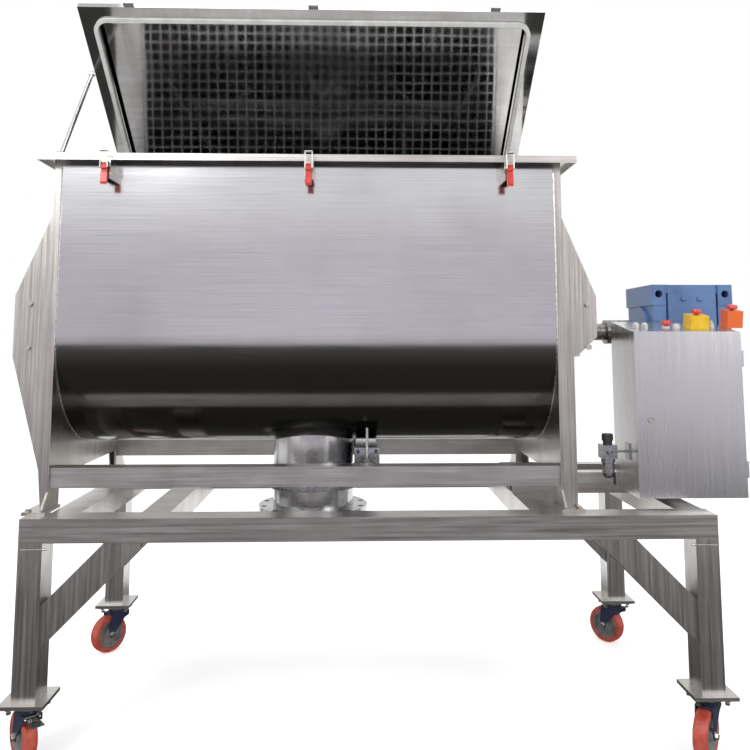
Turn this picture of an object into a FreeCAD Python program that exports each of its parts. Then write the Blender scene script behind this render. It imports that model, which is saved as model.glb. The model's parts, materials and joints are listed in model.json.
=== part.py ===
import FreeCAD, Part
import math
import os
import re

import Sketcher
from FreeCAD import Placement, Rotation, Vector

# Ribbon blender on a castored stand. X runs along the trough, Y from front to rear, Z up.
# The origin is on the floor under the middle of the machine's bounding box.

doc = FreeCAD.newDocument("ribbon_blender")
sheet = doc.addObject("Spreadsheet::Sheet", "sizes")

sizes = {
    # main positions along X, and the small gaps between pieces
    "stand_x": -100, "trough_x": -330, "seat_gap": 0.3, "run_gap": 0.05,
    # stand
    "stand_length": 2380, "stand_depth": 1060, "stand_top": 800,
    "tube_narrow": 80, "tube_broad": 100, "tube_wall": 4,
    "cross_left": -1070, "cross_inner": -757, "cross_right": 610, "cross_drive": 1130,
    "brace_broad": 100, "brace_deep": 80, "brace_reach": 345,
    "foot_plate_side": 150, "foot_plate_thick": 12,
    # castors
    "caster_height": 200, "caster_plate_long": 130, "caster_plate_wide": 110,
    "caster_plate_thick": 8, "race_radius": 36, "race_high": 12,
    "caster_trail": 38, "wheel_radius": 80, "tread_wide": 46, "tread_thick": 22,
    "hub_wide": 53, "hub_radius": 18, "wheel_web": 24, "axle_radius": 6,
    "fork_wide": 62, "fork_sheet": 4, "fork_crown": 5, "pedal_long": 54, "pedal_wide": 40,
    "swivel_left": 130, "swivel_right": 230,
    # trough
    "trough_length": 1808, "trough_radius": 435, "trough_wall": 4, "end_plate_thick": 8,
    "shaft_z": 1435, "rim_top": 2070, "rim_thick": 6, "rim_lip": 25, "rim_lip_wall": 4,
    "rim_over_x": 65, "rim_over_y": 55, "rim_inward": 50,
    "crossbar_side": 70, "crossbar_z": 917, "crossbar_inset": 45,
    "foot_pad_thick": 10, "foot_pad_out": 45, "foot_pad_wide": 80, "arch_leg": 100, "arch_high": 100,
    "gusset_high": 60,
    "lug_long": 40, "lug_thick": 6, "lug_spread": 600,
    # end housings: reach outwards from the end plate
    "housing_sheet": 5, "housing_top_reach": 18, "housing_reach": 138, "housing_shoulder_z": 1850,
    "housing_upper_z": 1560, "shelf_top": 1350, "shelf_thick": 8, "housing_toe_z": 945,
    "housing_toe_reach": 30, "housing_foot_reach": 18, "column_reach": 52, "chamfer_reach": 72,
    "chamfer_z": 1412,
    # shaft line
    "journal_radius": 35, "shaft_radius": 60, "bearing_offset": 46, "bearing_wide": 38,
    "bearing_base_long": 210, "bearing_base_high": 28, "bearing_dome_radius": 62,
    "seal_radius": 75, "seal_thick": 24, "shaft_end_gap": 6,
    "coupling_radius": 50, "coupling_long": 110, "coupling_gap": 10,
    # agitator
    "blade_gap": 8, "outer_wide": 50, "outer_thick": 10, "inner_radius": 250,
    "inner_wide": 45, "inner_thick": 8, "ribbon_turns": 0.6, "ribbon_end_gap": 22,
    "inner_phase": 115, "spoke_wide": 24, "spoke_thick": 12,
    # safety grid
    "grid_gap": 3, "grid_bar": 5, "grid_pitch": 45, "grid_edge": 12,
    # lid, in the plane of its hinge axis
    "hinge_y": 477, "hinge_z": 2109, "lid_open": 38.3, "lid_depth": 982, "lid_half": 922,
    "lid_rear_gap": 22, "lid_high": 28, "lid_frame": 70, "lid_sheet": 3,
    "gasket_inset": 45, "gasket_wide": 16, "gasket_thick": 12, "gasket_corner": 60,
    "hinge_radius": 9, "hinge_pin_radius": 5, "knuckle_long": 40, "hinge_spread": 640,
    "keeper_wide": 40, "keeper_out": 12, "keeper_high": 14,
    # lid stays
    "stay_y": -348, "stay_up": 25, "stay_out": 22, "stay_radius": 8, "stay_eye": 13,
    "stay_eye_half": 9,
    "stay_pin": 5, "stay_stud_at": 667, "stay_stud_drop": 7,
    # toggle latches
    "latch_spread": 725, "latch_plate_out": 61, "latch_plate_wide": 34, "latch_plate_thick": 4,
    "latch_low_z": 1975, "latch_high_z": 2042, "latch_pivot_z": 2025, "latch_pivot_out": 14,
    "handle_long": 68, "handle_wide": 20, "handle_thick": 5, "grip_long": 42, "grip_wide": 22,
    "grip_thick": 12, "loop_long": 60, "loop_wire": 2.5, "loop_wide": 28, "loop_drop": 14,
    # control box
    "box_x": 868, "box_wide": 400, "box_front": -400, "box_deep": 250, "box_low": 830,
    "box_high": 602, "box_slope_rise": 42, "box_sheet": 3, "door_thick": 20,
    "plate_margin": 35, "plate_stand_off": 20,
    "lock_in": 52, "lock_z": 1110, "lock_radius": 11, "door_pin_radius": 5, "door_pin_out": 7,
    # controls, from the front left corner of the sloped top
    "row_back": 90, "mushroom_at": 165, "start_at": 205, "stop_at": 282, "selector_at": 338,
    "collar_radius": 15, "collar_high": 7, "stem_bore": 7.05, "start_radius": 12,
    "press_travel": 4, "press_deep": 10, "stop_box_wide": 70, "stop_box_high": 50,
    "side_box_wide": 60, "side_box_high": 65, "lamp_left": 48, "lamp_right": 82,
    # drive
    "gear_x": 1040, "gear_wide": 330, "gear_half_deep": 138, "gear_low": 1245, "gear_top": 1625,
    "gear_socket": 20, "gear_side_in": 14, "gear_pad_proud": 8,
    "gear_lug": 58, "gear_pad_high": 83, "gear_lug_hole": 15, "gear_hole_in": 38, "gear_groove": 9,
    "gear_cap_high": 34, "gear_flange_radius": 105, "gear_flange_thick": 18,
    "motor_radius": 118, "motor_long": 300, "motor_z": 1380, "motor_flange_radius": 140,
    "motor_flange_thick": 24, "cowl_long": 65, "cowl_radius": 122, "beam_wide": 60, "beam_high": 80, "beam_y": 105, "beam_start": 460,
    "post_side": 60, "gear_plate": 10,
    # discharge
    "pipe_radius": 162, "pipe_wall": 4, "valve_z": 852, "valve_ring_high": 70,
    "valve_ring_radius": 188, "valve_bore": 150, "disc_thick": 12, "stem_radius": 14,
    "outlet_flange_radius": 220, "outlet_flange_thick": 20, "outlet_z": 720, "outlet_pcd": 400,
    "outlet_hole": 11, "outlet_holes": 12, "actuator_x": 215, "actuator_z": 945, "actuator_side": 96,
    "actuator_half_long": 240, "cap_thick": 14, "neck_reach": 192,
    "lever_housing": 64, "housing_deep": 34, "stem_seat": 22, "lever_radius": 5, "lever_long": 115,
    # air supply unit
    "air_x": 790, "air_y": -300, "air_z": 985, "air_side": 56, "air_body_high": 50,
    "bowl_radius": 23, "bowl_high": 74, "knob_radius": 21, "knob_high": 40,
    "inlet_long": 14, "inlet_bore": 6,
    # hexagon heads
    "bolt_radius": 11, "bolt_high": 8,
}

for row, (name, number) in enumerate(sizes.items(), 1):
    sheet.set(f"A{row}", name)
    sheet.set(f"B{row}", str(number))
    sheet.setAlias(f"B{row}", name)
doc.recompute()

words = re.compile(r"\b(" + "|".join(sorted(sizes, key=len, reverse=True)) + r")\b")
nodes = []


def bound(text):
    """An expression over the sheet's aliases."""
    return words.sub(r"sizes.\1", str(text))


def value(text):
    return float(sheet.evalExpression(bound(text)))


def tie(item, **properties):
    for name, text in properties.items():
        item.setExpression(name, bound(text))


def place(item, spot, rotation=Rotation()):
    item.Placement = Placement(Vector(), rotation)
    for axis, text in zip("xyz", spot):
        item.setExpression("Placement.Base." + axis, bound(text))
    return item


def carried(item, spot, rotation):
    """A piece drawn round its carrier's own origin, then laid where the carrier is."""
    return place(group(item), spot, rotation)


def node(label, item):
    item.Label = label
    nodes.append(item)
    return item


along = {"x": Rotation(Vector(0, 1, 0), 90), "y": Rotation(Vector(1, 0, 0), -90), "z": Rotation()}


def box(corner, size):
    item = doc.addObject("Part::Box", "block")
    tie(item, Length=size[0], Width=size[1], Height=size[2])
    return place(item, corner)


def middle_box(middle, size):
    """A box whose corner is worked out from its middle."""
    return box([f"{m} - ({s}) / 2" for m, s in zip(middle, size)], size)


def cylinder(start, radius, length, axis="z"):
    item = doc.addObject("Part::Cylinder", "rod")
    tie(item, Radius=radius, Height=length)
    return place(item, start, along[axis])


def hexagon(start, radius, length, axis="z"):
    item = doc.addObject("Part::Prism", "hexagon")
    item.Polygon = 6
    tie(item, Circumradius=radius, Height=length)
    return place(item, start, along[axis])


def cut(base, *tools):
    for tool in tools:
        item = doc.addObject("Part::Cut", "cut")
        item.Base, item.Tool = base, tool
        base = item
    return base


def fuse(*items):
    item = doc.addObject("Part::MultiFuse", "joined")
    item.Shapes = list(items)
    item.Refine = True
    return item


def group(*items):
    item = doc.addObject("Part::Compound", "group")
    item.Links = list(items)
    return item


def draw(sketch, points):
    """A closed outline whose corners are bound to the sheet."""
    spots = [Vector(value(x), value(y), 0) for x, y in points]
    for start, end in zip(spots, spots[1:] + spots[:1]):
        sketch.addGeometry(Part.LineSegment(start, end))
    count = len(spots)
    for i in range(count):
        sketch.addConstraint(Sketcher.Constraint("Coincident", i, 2, (i + 1) % count, 1))
    for i, point in enumerate(points):
        for kind, text in zip(("DistanceX", "DistanceY"), point):
            number = sketch.addConstraint(Sketcher.Constraint(kind, -1, 1, i, 1, value(text)))
            sketch.setExpression(f"Constraints[{number}]", bound(text))
    return sketch


faces = {"xz": Rotation(Vector(1, 0, 0), 90), "yz": Rotation(0.5, 0.5, 0.5, 0.5), "xy": Rotation()}
normals = {"xz": Vector(0, 1, 0), "yz": Vector(1, 0, 0), "xy": Vector(0, 0, 1)}


def slab(points, face, start, length):
    """An outline drawn in one plane and extruded along its normal from start."""
    sketch = draw(doc.addObject("Sketcher::SketchObject", "outline"), points)
    spot = {"xz": ("0", start, "0"), "yz": (start, "0", "0"), "xy": ("0", "0", start)}[face]
    place(sketch, spot, faces[face])
    item = doc.addObject("Part::Extrusion", "slab")
    item.Base = sketch
    item.DirMode = "Custom"
    item.Dir = normals[face]
    item.Solid = True
    tie(item, LengthFwd=length)
    return item


def tube(corner, size, axis, wall="tube_wall"):
    """A rectangular tube, open at both ends, along X, Y or Z."""
    inner_corner = [c if a == axis else f"{c} + {wall}" for a, c in zip("xyz", corner)]
    inner_size = [s if a == axis else f"{s} - 2 * {wall}" for a, s in zip("xyz", size)]
    return cut(box(corner, size), box(inner_corner, inner_size))


def origin_plane(body, role):
    return next(f for f in body.Origin.OriginFeatures if f.Role == role)


def body_sketch(body, role, points):
    sketch = body.newObject("Sketcher::SketchObject", "section")
    sketch.AttachmentSupport = [(origin_plane(body, role), "")]
    sketch.MapMode = "FlatFace"
    return draw(sketch, points)


def turned(points, name="turned"):
    """A body turned round Y from (radius, position along the axis) points."""
    body = doc.addObject("PartDesign::Body", name)
    sketch = body_sketch(body, "XY_Plane", points)
    feature = body.newObject("PartDesign::Revolution", "turning")
    feature.Profile = sketch
    feature.ReferenceAxis = (sketch, ["V_Axis"])
    feature.Angle = 360
    return body


def rounded(item, radius, edges):
    fillet = doc.addObject("Part::Fillet", "rounding")
    fillet.Base = item
    fillet.Edges = [(edge, radius, radius) for edge in edges]
    return fillet


upright_edges = (1, 3, 5, 7)
sides = (-1, 1)

# ---------------------------------------------------------------- stand

rail_low = "(stand_top - tube_narrow)"
leg_low = "(caster_height + foot_plate_thick)"


def leg_x(side):
    return f"(stand_x + {side} * (stand_length - tube_narrow) / 2)"


def leg_y(side):
    return f"({side} * (stand_depth - tube_broad) / 2)"


def make_rails():
    pieces = []
    for side in sides:
        corner_y = f"{leg_y(side)} - tube_broad / 2"
        corner = ("stand_x - stand_length / 2 + tube_wall", corner_y, rail_low)
        pieces.append(tube(corner, ("stand_length - 2 * tube_wall", "tube_broad", "tube_narrow"), "x"))
        for end in ("stand_x - stand_length / 2", "stand_x + stand_length / 2 - tube_wall"):
            pieces.append(box((end, corner_y, rail_low), ("tube_wall", "tube_broad", "tube_narrow")))
    return group(*pieces)


def make_cross_members():
    pieces = []
    inner = "(stand_depth / 2 - tube_broad)"
    for offset in ("cross_left", "cross_inner", "cross_right", "cross_drive"):
        corner = (f"stand_x + {offset} - tube_broad / 2", f"-{inner}", rail_low)
        pieces.append(tube(corner, ("tube_broad", f"2 * {inner}", "tube_narrow"), "y"))
    return group(*pieces)


def make_legs():
    pieces = []
    for x in sides:
        for y in sides:
            corner = (f"{leg_x(x)} - tube_narrow / 2", f"{leg_y(y)} - tube_broad / 2", leg_low)
            pieces.append(tube(corner, ("tube_narrow", "tube_broad", f"{rail_low} - {leg_low}"), "z"))
    return group(*pieces)


def make_braces():
    """Braces at 45 degrees, mitred against the leg and the underside of the rail."""
    pieces = []
    for x in sides:
        foot = f"({leg_x(x)} - {x} * tube_narrow / 2)"

        def section(inset):
            rise = f"(brace_broad * sqrt(2) - {inset})"
            return [
                (foot, f"{rail_low} - brace_reach + {inset}"),
                (f"{foot} - {x} * (brace_reach - {inset})", rail_low),
                (f"{foot} - {x} * (brace_reach - {rise})", rail_low),
                (foot, f"{rail_low} - brace_reach + {rise}"),
            ]

        for y in sides:
            start = f"{leg_y(y)} - brace_deep / 2"
            outer = slab(section("0"), "xz", start, "brace_deep")
            inner = slab(
                section("tube_wall * sqrt(2)"), "xz", f"{start} + tube_wall", "brace_deep - 2 * tube_wall"
            )
            pieces.append(cut(outer, inner))
    return group(*pieces)


def make_foot_plates():
    size = ("foot_plate_side", "foot_plate_side", "foot_plate_thick")
    middle = "caster_height + foot_plate_thick / 2"
    return group(*[middle_box((leg_x(x), leg_y(y), middle), size) for x in sides for y in sides])


node("stand_frame", group(make_rails(), make_cross_members()))
node("stand_legs", group(make_legs(), make_braces()))
node("foot_plates", make_foot_plates())

# ---------------------------------------------------------------- castors

fork_top = "(caster_height - caster_plate_thick - race_high - seat_gap)"
crown_top = "(2 * wheel_radius + fork_crown + 3)"
pedal_x = "(-race_radius - 2)"
pedal_z = "(2 * wheel_radius - 4)"


def make_caster_plates():
    pieces = []
    for x in sides:
        for y in sides:
            middle = (leg_x(x), leg_y(y), "caster_height - caster_plate_thick / 2")
            plate = middle_box(middle, ("caster_plate_long", "caster_plate_wide", "caster_plate_thick"))
            race = cylinder(
                (leg_x(x), leg_y(y), f"{fork_top} + seat_gap"), "race_radius", "race_high"
            )
            pieces.append(fuse(plate, race))
    return group(*pieces)


def make_fork(braked):
    """Pressed fork with its axle: trail along +X, axle along Y."""
    cheek = [
        ("-46", crown_top),
        ("caster_trail + 8", crown_top),
        ("caster_trail + 16", "wheel_radius + 14"),
        ("caster_trail + 9", "wheel_radius - 13"),
        ("caster_trail - 9", "wheel_radius - 13"),
        ("caster_trail - 18", "wheel_radius + 12"),
        ("-22", "2 * wheel_radius - 22"),
        ("-46", "2 * wheel_radius - 12"),
    ]
    blank = slab(cheek, "xz", "-fork_wide / 2", "fork_wide")
    gap = "(fork_wide - 2 * fork_sheet)"
    window = box(("-2 * wheel_radius", f"-{gap} / 2", "0"), ("4 * wheel_radius", gap, f"{crown_top} - fork_crown"))
    head = cylinder(("0", "0", crown_top), "race_radius", f"{fork_top} - {crown_top}")
    axle_start = ("caster_trail", "-fork_wide / 2 - 6", "wheel_radius")
    axle = cylinder(axle_start, "axle_radius", "fork_wide + 12", "y")
    nuts = [
        hexagon(("caster_trail", start, "wheel_radius"), "axle_radius * 1.8", "7", "y")
        for start in ("-fork_wide / 2 - 7", "fork_wide / 2")
    ]
    pedal_pin = cylinder((pedal_x, "-fork_wide / 2 - 2", pedal_z), "3", "fork_wide + 4", "y")
    pieces = [cut(blank, window), head, axle, *nuts]
    return fuse(*pieces, pedal_pin) if braked else fuse(*pieces)


def make_wheel():
    """Cast core with a moulded tread, turned as one piece round Y."""
    core = "(wheel_radius - tread_thick)"
    half = [
        ("axle_radius + run_gap", "hub_wide / 2"),
        ("hub_radius", "hub_wide / 2"),
        ("hub_radius + 2", "wheel_web / 2"),
        (f"{core} - 3", "wheel_web / 2"),
        (core, "tread_wide / 2 - 2"),
        ("wheel_radius - 5", "tread_wide / 2"),
        ("wheel_radius", "tread_wide / 2 - 6"),
    ]
    mirrored = [(r, f"-({y})") for r, y in reversed(half)]
    return turned(half + mirrored, "wheel")


def make_pedal():
    """Brake pedal on a boss between the fork cheeks."""
    boss_z = pedal_z
    boss_start = "-(fork_wide / 2 - fork_sheet - seat_gap)"
    boss_long = "(fork_wide - 2 * fork_sheet - 2 * seat_gap)"
    boss = cylinder((pedal_x, boss_start, boss_z), "5.5", boss_long, "y")
    bore = cylinder((pedal_x, boss_start, boss_z), "3 + run_gap", boss_long, "y")
    tread = slab(
        [
            (f"{pedal_x} - 2", f"{boss_z} + 4"), (f"{pedal_x} - 2", f"{boss_z} - 4"), ("-60", f"{boss_z} - 8"),
            ("-46 - pedal_long", f"{boss_z} - 6"), ("-46 - pedal_long", f"{boss_z} - 1"),
            ("-60", f"{boss_z} - 3"), ("-48", f"{boss_z} + 4"),
        ],
        "xz", "-pedal_wide / 2", "pedal_wide",
    )
    return cut(fuse(boss, tread), bore)


def swivelled(item, x, y, angle):
    turn = Rotation(Vector(0, 0, 1), value(angle))
    return carried(item, (leg_x(x), leg_y(y), "0"), turn)


def add_caster(name, x, y, angle, braked):
    node(f"caster_fork_{name}", swivelled(make_fork(braked), x, y, angle))
    wheel = make_wheel()
    spot = (
        f"{leg_x(x)} + caster_trail * cos({angle})",
        f"{leg_y(y)} + caster_trail * sin({angle})",
        "wheel_radius",
    )
    node(f"caster_wheel_{name}", place(wheel, spot, Rotation(Vector(0, 0, 1), value(angle))))
    if braked:
        node(f"caster_brake_{name}", swivelled(make_pedal(), x, y, angle))


node("caster_plates", make_caster_plates())
add_caster("front_left", -1, -1, "swivel_left", True)
add_caster("front_right", 1, -1, "swivel_right", True)
add_caster("rear_left", -1, 1, "swivel_right", False)
add_caster("rear_right", 1, 1, "swivel_left", False)

# ---------------------------------------------------------------- trough

rim_low = "(rim_top - rim_thick)"
trough_left = "(trough_x - trough_length / 2)"
foot_top = "(stand_top + foot_pad_thick)"
lid_middle = "trough_x"


def trough_solid(radius, top):
    """Half round bottom with straight walls above it."""
    bottom = cylinder((trough_left, "0", "shaft_z"), radius, "trough_length", "x")
    walls = box((trough_left, f"-({radius})", "shaft_z"), ("trough_length", f"2 * ({radius})", f"{top} - shaft_z"))
    return fuse(bottom, walls)


def make_trough():
    inner_radius = "(trough_radius - trough_wall)"
    shell = cut(trough_solid("trough_radius", rim_low), trough_solid(inner_radius, rim_low))
    outlet = cylinder(("trough_x", "0", "shaft_z - 2 * trough_radius"), "pipe_radius - pipe_wall", "trough_radius * 1.5")
    lugs = []
    lug_deep = "(rim_inward + 20)"
    for x in (-1, 0, 1):
        for y in sides:
            middle_y = f"{y} * ({inner_radius} - {lug_deep} / 2)"
            middle_z = f"{rim_low} - grid_bar - lug_thick / 2 - seat_gap"
            lugs.append(
                middle_box((f"trough_x + {x} * lug_spread", middle_y, middle_z), ("lug_long", lug_deep, "lug_thick"))
            )
    return fuse(cut(shell, outlet), *lugs)


def end_face(side):
    """Outer face of an end plate."""
    return f"(trough_x + {side} * (trough_length / 2 + end_plate_thick))"


def arch(start, long):
    """Clearance under the ends, over the stand's cross members and the drive's beams."""
    return box((start, "-trough_radius + arch_leg", foot_top), (long, "2 * (trough_radius - arch_leg)", "arch_high"))


def make_end_plates():
    pieces = []
    for side in sides:
        start = f"trough_x + {side} * (trough_length + end_plate_thick) / 2 - end_plate_thick / 2"
        plate = box((start, "-trough_radius", foot_top), ("end_plate_thick", "2 * trough_radius", f"{rim_low} - {foot_top}"))
        bore = cylinder((f"{start} - 1", "0", "shaft_z"), "journal_radius + 6", "end_plate_thick + 2", "x")
        pieces.append(cut(plate, bore, arch(f"{start} - 1", "end_plate_thick + 2")))
        for y in sides:
            middle = (
                f"{end_face(side)} + {side} * (foot_pad_wide / 2 - 2 * end_plate_thick)",
                f"{y} * (trough_radius - (arch_leg - foot_pad_out) / 2)",
                "stand_top + foot_pad_thick / 2",
            )
            pad = middle_box(middle, ("foot_pad_wide", "arch_leg + foot_pad_out", "foot_pad_thick"))
            inner = f"({y} * trough_radius)"
            corners = [
                (inner, foot_top), (f"{inner} + {y} * foot_pad_out", foot_top),
                (f"{inner} + {y} * foot_pad_out", f"{foot_top} + 8"), (inner, f"{foot_top} + gusset_high"),
            ]
            pieces.append(fuse(pad, slab(corners, "yz", start, "end_plate_thick")))
    return group(*pieces)


def make_crossbars():
    pieces = []
    for side in sides:
        middle_y = f"{side} * (trough_radius - crossbar_inset)"
        corner = (trough_left, f"{middle_y} - crossbar_side / 2", "crossbar_z - crossbar_side / 2")
        pieces.append(tube(corner, ("trough_length", "crossbar_side", "crossbar_side"), "x"))
    return group(*pieces)


def make_rim():
    half_x = "(trough_length / 2 + end_plate_thick + rim_over_x)"
    half_y = "(trough_radius + rim_over_y)"
    blank = box((f"trough_x - {half_x}", f"-{half_y}", "rim_top - rim_lip"), (f"2 * {half_x}", f"2 * {half_y}", "rim_lip"))
    under = box(
        (f"trough_x - {half_x} + rim_lip_wall", f"-{half_y} + rim_lip_wall", "rim_top - rim_lip"),
        (f"2 * ({half_x} - rim_lip_wall)", f"2 * ({half_y} - rim_lip_wall)", "rim_lip - rim_thick"),
    )
    open_x = "(trough_length / 2 - rim_inward)"
    open_y = "(trough_radius - trough_wall - rim_inward)"
    mouth = box((f"trough_x - {open_x}", f"-{open_y}", rim_low), (f"2 * {open_x}", f"2 * {open_y}", "rim_thick"))
    return cut(blank, under, mouth)


def make_grid():
    """Square bars in two crossed layers, with a broad edge bar along each side."""
    half_x = "(trough_length / 2 - rim_inward - grid_gap)"
    half_y = "(trough_radius - trough_wall - rim_inward - grid_gap)"
    low = f"({rim_low} - grid_bar / 2)"
    high = f"({rim_low} + grid_bar / 2)"
    pieces = []
    for side in sides:
        edge_y = f"{side} * ({half_y} - grid_edge / 2)"
        edge_x = f"trough_x + {side} * ({half_x} - grid_edge / 2)"
        pieces.append(middle_box(("trough_x", edge_y, low), (f"2 * {half_x}", "grid_edge", "grid_bar")))
        pieces.append(middle_box((edge_x, "0", high), ("grid_edge", f"2 * {half_y}", "grid_bar")))
    long_count = int((2 * value(half_y) - 2 * value("grid_edge")) / value("grid_pitch"))
    short_count = int((2 * value(half_x) - 2 * value("grid_edge")) / value("grid_pitch"))
    for i in range(long_count):
        y = f"({i} - {(long_count - 1) / 2}) * grid_pitch"
        pieces.append(middle_box(("trough_x", y, low), (f"2 * {half_x}", "grid_bar", "grid_bar")))
    for i in range(short_count):
        x = f"trough_x + ({i} - {(short_count - 1) / 2}) * grid_pitch"
        pieces.append(middle_box((x, "0", high), ("grid_bar", f"2 * {half_y}", "grid_bar")))
    return group(*pieces)


node("trough_shell", make_trough())
node("trough_end_plates", make_end_plates())
node("base_crossbars", make_crossbars())
node("rim_flange", make_rim())
node("safety_grid", make_grid())

# ---------------------------------------------------------------- end housings


def housing_outline(side, inset, upper, lower):
    """(reach outwards, height) corners, turned into X and Z on one side of the trough."""
    if side < 0:
        below = [("housing_reach", "shelf_top - shelf_thick"), ("housing_toe_reach", "housing_toe_z"), ("housing_foot_reach", foot_top)]
    else:
        below = [("chamfer_reach", "shelf_top - shelf_thick"), ("column_reach", "shelf_top - shelf_thick - 2"), ("column_reach", foot_top)]
    above = [("housing_top_reach", rim_low), ("housing_top_reach", "housing_shoulder_z"), ("housing_reach", "housing_upper_z")]
    if side > 0:
        above.append(("housing_reach", "chamfer_z"))
        above.append(("chamfer_reach", "shelf_top"))
    else:
        above.append(("housing_reach", "shelf_top"))
    corners = [("0", rim_low)] if upper else []
    corners += above if upper else []
    corners += below if lower else []
    corners += [("0", foot_top if lower else "shelf_top")]
    if lower and not upper:
        corners = [("0", "shelf_top - shelf_thick")] + corners
    return [
        (f"{end_face(side)} + {side} * max(0; {reach} - {inset})" if reach != "0" else end_face(side), z)
        for reach, z in corners
    ]


def make_housing(side):
    half = "trough_radius"
    skin = slab(housing_outline(side, "0", True, True), "xz", f"-{half}", f"2 * {half}")
    inner_start = f"-{half} + housing_sheet"
    inner_length = f"2 * ({half} - housing_sheet)"
    room = slab(housing_outline(side, "housing_sheet", True, False), "xz", inner_start, inner_length)
    lower_room = slab(housing_outline(side, "housing_sheet", False, True), "xz", inner_start, inner_length)
    arch_start = end_face(side) if side > 0 else f"{end_face(side)} - housing_reach"
    shell = cut(skin, room, lower_room, arch(arch_start, "housing_reach"))
    if side > 0:
        hole = cylinder((end_face(side), "0", "shaft_z"), "journal_radius + 6", "housing_reach + 10", "x")
        shell = cut(shell, hole)
    return shell


node("end_housing_left", make_housing(-1))
node("end_housing_right", make_housing(1))

# ---------------------------------------------------------------- shaft line


def make_bearings():
    pieces = []
    for side in sides:
        middle = f"({end_face(side)} + {side} * bearing_offset)"
        start = f"{middle} - bearing_wide / 2"
        base = middle_box((middle, "0", "shelf_top + bearing_base_high / 2"), ("bearing_wide", "bearing_base_long", "bearing_base_high"))
        riser_wide = "bearing_dome_radius * 1.8"
        riser = middle_box((middle, "0", "(shelf_top + shaft_z) / 2"), ("bearing_wide * 0.8", riser_wide, "shaft_z - shelf_top"))
        dome = cylinder((start, "0", "shaft_z"), "bearing_dome_radius", "bearing_wide", "x")
        bore = cylinder((f"{start} - 1", "0", "shaft_z"), "journal_radius + run_gap", "bearing_wide + 2", "x")
        pieces.append(cut(fuse(base, riser, dome), bore))
    return group(*pieces)


def make_seals():
    pieces = []
    for side in sides:
        start = f"{end_face(side)} + ({side} - 1) / 2 * seal_thick"
        ring = cylinder((start, "0", "shaft_z"), "seal_radius", "seal_thick", "x")
        bore = cylinder((f"{start} - 1", "0", "shaft_z"), "journal_radius + run_gap", "seal_thick + 2", "x")
        pieces.append(cut(ring, bore))
    return group(*pieces)


shaft_left = "(-trough_length / 2 - end_plate_thick - bearing_offset - bearing_wide / 2 - 12)"
shaft_right = "(gear_x + gear_socket - trough_x)"


def make_shaft():
    """Hollow-pipe style shaft with turned journals and both coupling hubs, turned round Y."""
    barrel = "(trough_length / 2 - shaft_end_gap)"
    hub_end = f"({shaft_right} - gear_socket - 40)"
    hub_start = f"({hub_end} - coupling_long)"
    body = turned(
        [
            ("0", shaft_left), ("journal_radius - 3", shaft_left), ("journal_radius", f"{shaft_left} + 3"),
            ("journal_radius", f"-{barrel}"), ("shaft_radius", f"-{barrel}"), ("shaft_radius", barrel),
            ("journal_radius", barrel), ("journal_radius", hub_start), ("coupling_radius", hub_start),
            ("coupling_radius", f"{hub_start} + (coupling_long - coupling_gap) / 2"),
            ("coupling_radius - 8", f"{hub_start} + (coupling_long - coupling_gap) / 2"),
            ("coupling_radius - 8", f"{hub_start} + (coupling_long + coupling_gap) / 2"),
            ("coupling_radius", f"{hub_start} + (coupling_long + coupling_gap) / 2"),
            ("coupling_radius", hub_end), ("journal_radius", hub_end), ("journal_radius", shaft_right),
            ("0", shaft_right),
        ],
        "shaft",
    )
    return place(body, ("trough_x", "0", "shaft_z"), Rotation(Vector(0, 0, 1), -90))


outer_radius = "(trough_radius - trough_wall - blade_gap)"
ribbon_span = "(trough_length / 2 - ribbon_end_gap)"


def strip_turn(side, phase):
    """Rotation that lays the body's Z along -X or +X, with its start at the same angle either way."""
    lay = Rotation(Vector(0, 1, 0), 90 * side)
    return lay.multiply(Rotation(Vector(0, 0, 1), phase + (180 if side < 0 else 0)))


def make_strip(side, phase, radius, wide, thick, left_handed):
    """One flight: a flat bar wound round the shaft from the middle of the trough to one end."""
    body = doc.addObject("PartDesign::Body", "strip")
    corners = [(f"{radius} - {wide}", "0"), (radius, "0"), (radius, thick), (f"{radius} - {wide}", thick)]
    sketch = body_sketch(body, "XZ_Plane", corners)
    doc.recompute()
    helix = body.newObject("PartDesign::AdditiveHelix", "flight")
    helix.Profile = sketch
    helix.ReferenceAxis = (sketch, ["V_Axis"])
    helix.Mode = "height-turns-angle"
    tie(helix, Height=f"{ribbon_span} - {thick}", Turns="ribbon_turns")
    helix.LeftHanded = left_handed
    return place(body, ("trough_x", "0", "shaft_z"), strip_turn(side, phase))


def make_ribbons(radius, wide, thick, phase, hand):
    strips = []
    for side in sides:
        for start in (0, 180):
            strips.append(make_strip(side, value(phase) * side + start, radius, wide, thick, side * hand < 0))
    return group(*strips)


def make_spokes():
    pieces = []
    flights = (
        (outer_radius, "outer_wide", "outer_thick", "0", 1),
        ("inner_radius", "inner_wide", "inner_thick", "inner_phase", -1),
    )
    for radius, wide, thick, phase, hand in flights:
        reach = f"(sqrt(pow({radius} - {wide}; 2) - pow(spoke_wide / 2; 2)) - seat_gap)"
        root = "(sqrt(pow(shaft_radius; 2) - pow(spoke_wide / 2; 2)) + 2)"
        for side in sides:
            for start in (0, 180):
                for share in (0.04, 0.5, 0.96):
                    bar = box(
                        (root, "-spoke_wide / 2", "-spoke_thick / 2"),
                        (f"{reach} - {root}", "spoke_wide", "spoke_thick"),
                    )
                    angle = value(phase) * side + start + side * hand * 360 * value("ribbon_turns") * share
                    run = f"({share} * ({ribbon_span} - {thick}) + {thick} / 2)"
                    holder = group(bar)
                    place(holder, (f"trough_x + {side} * {run}", "0", "shaft_z"), strip_turn(side, angle))
                    pieces.append(holder)
    return group(*pieces)


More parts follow.
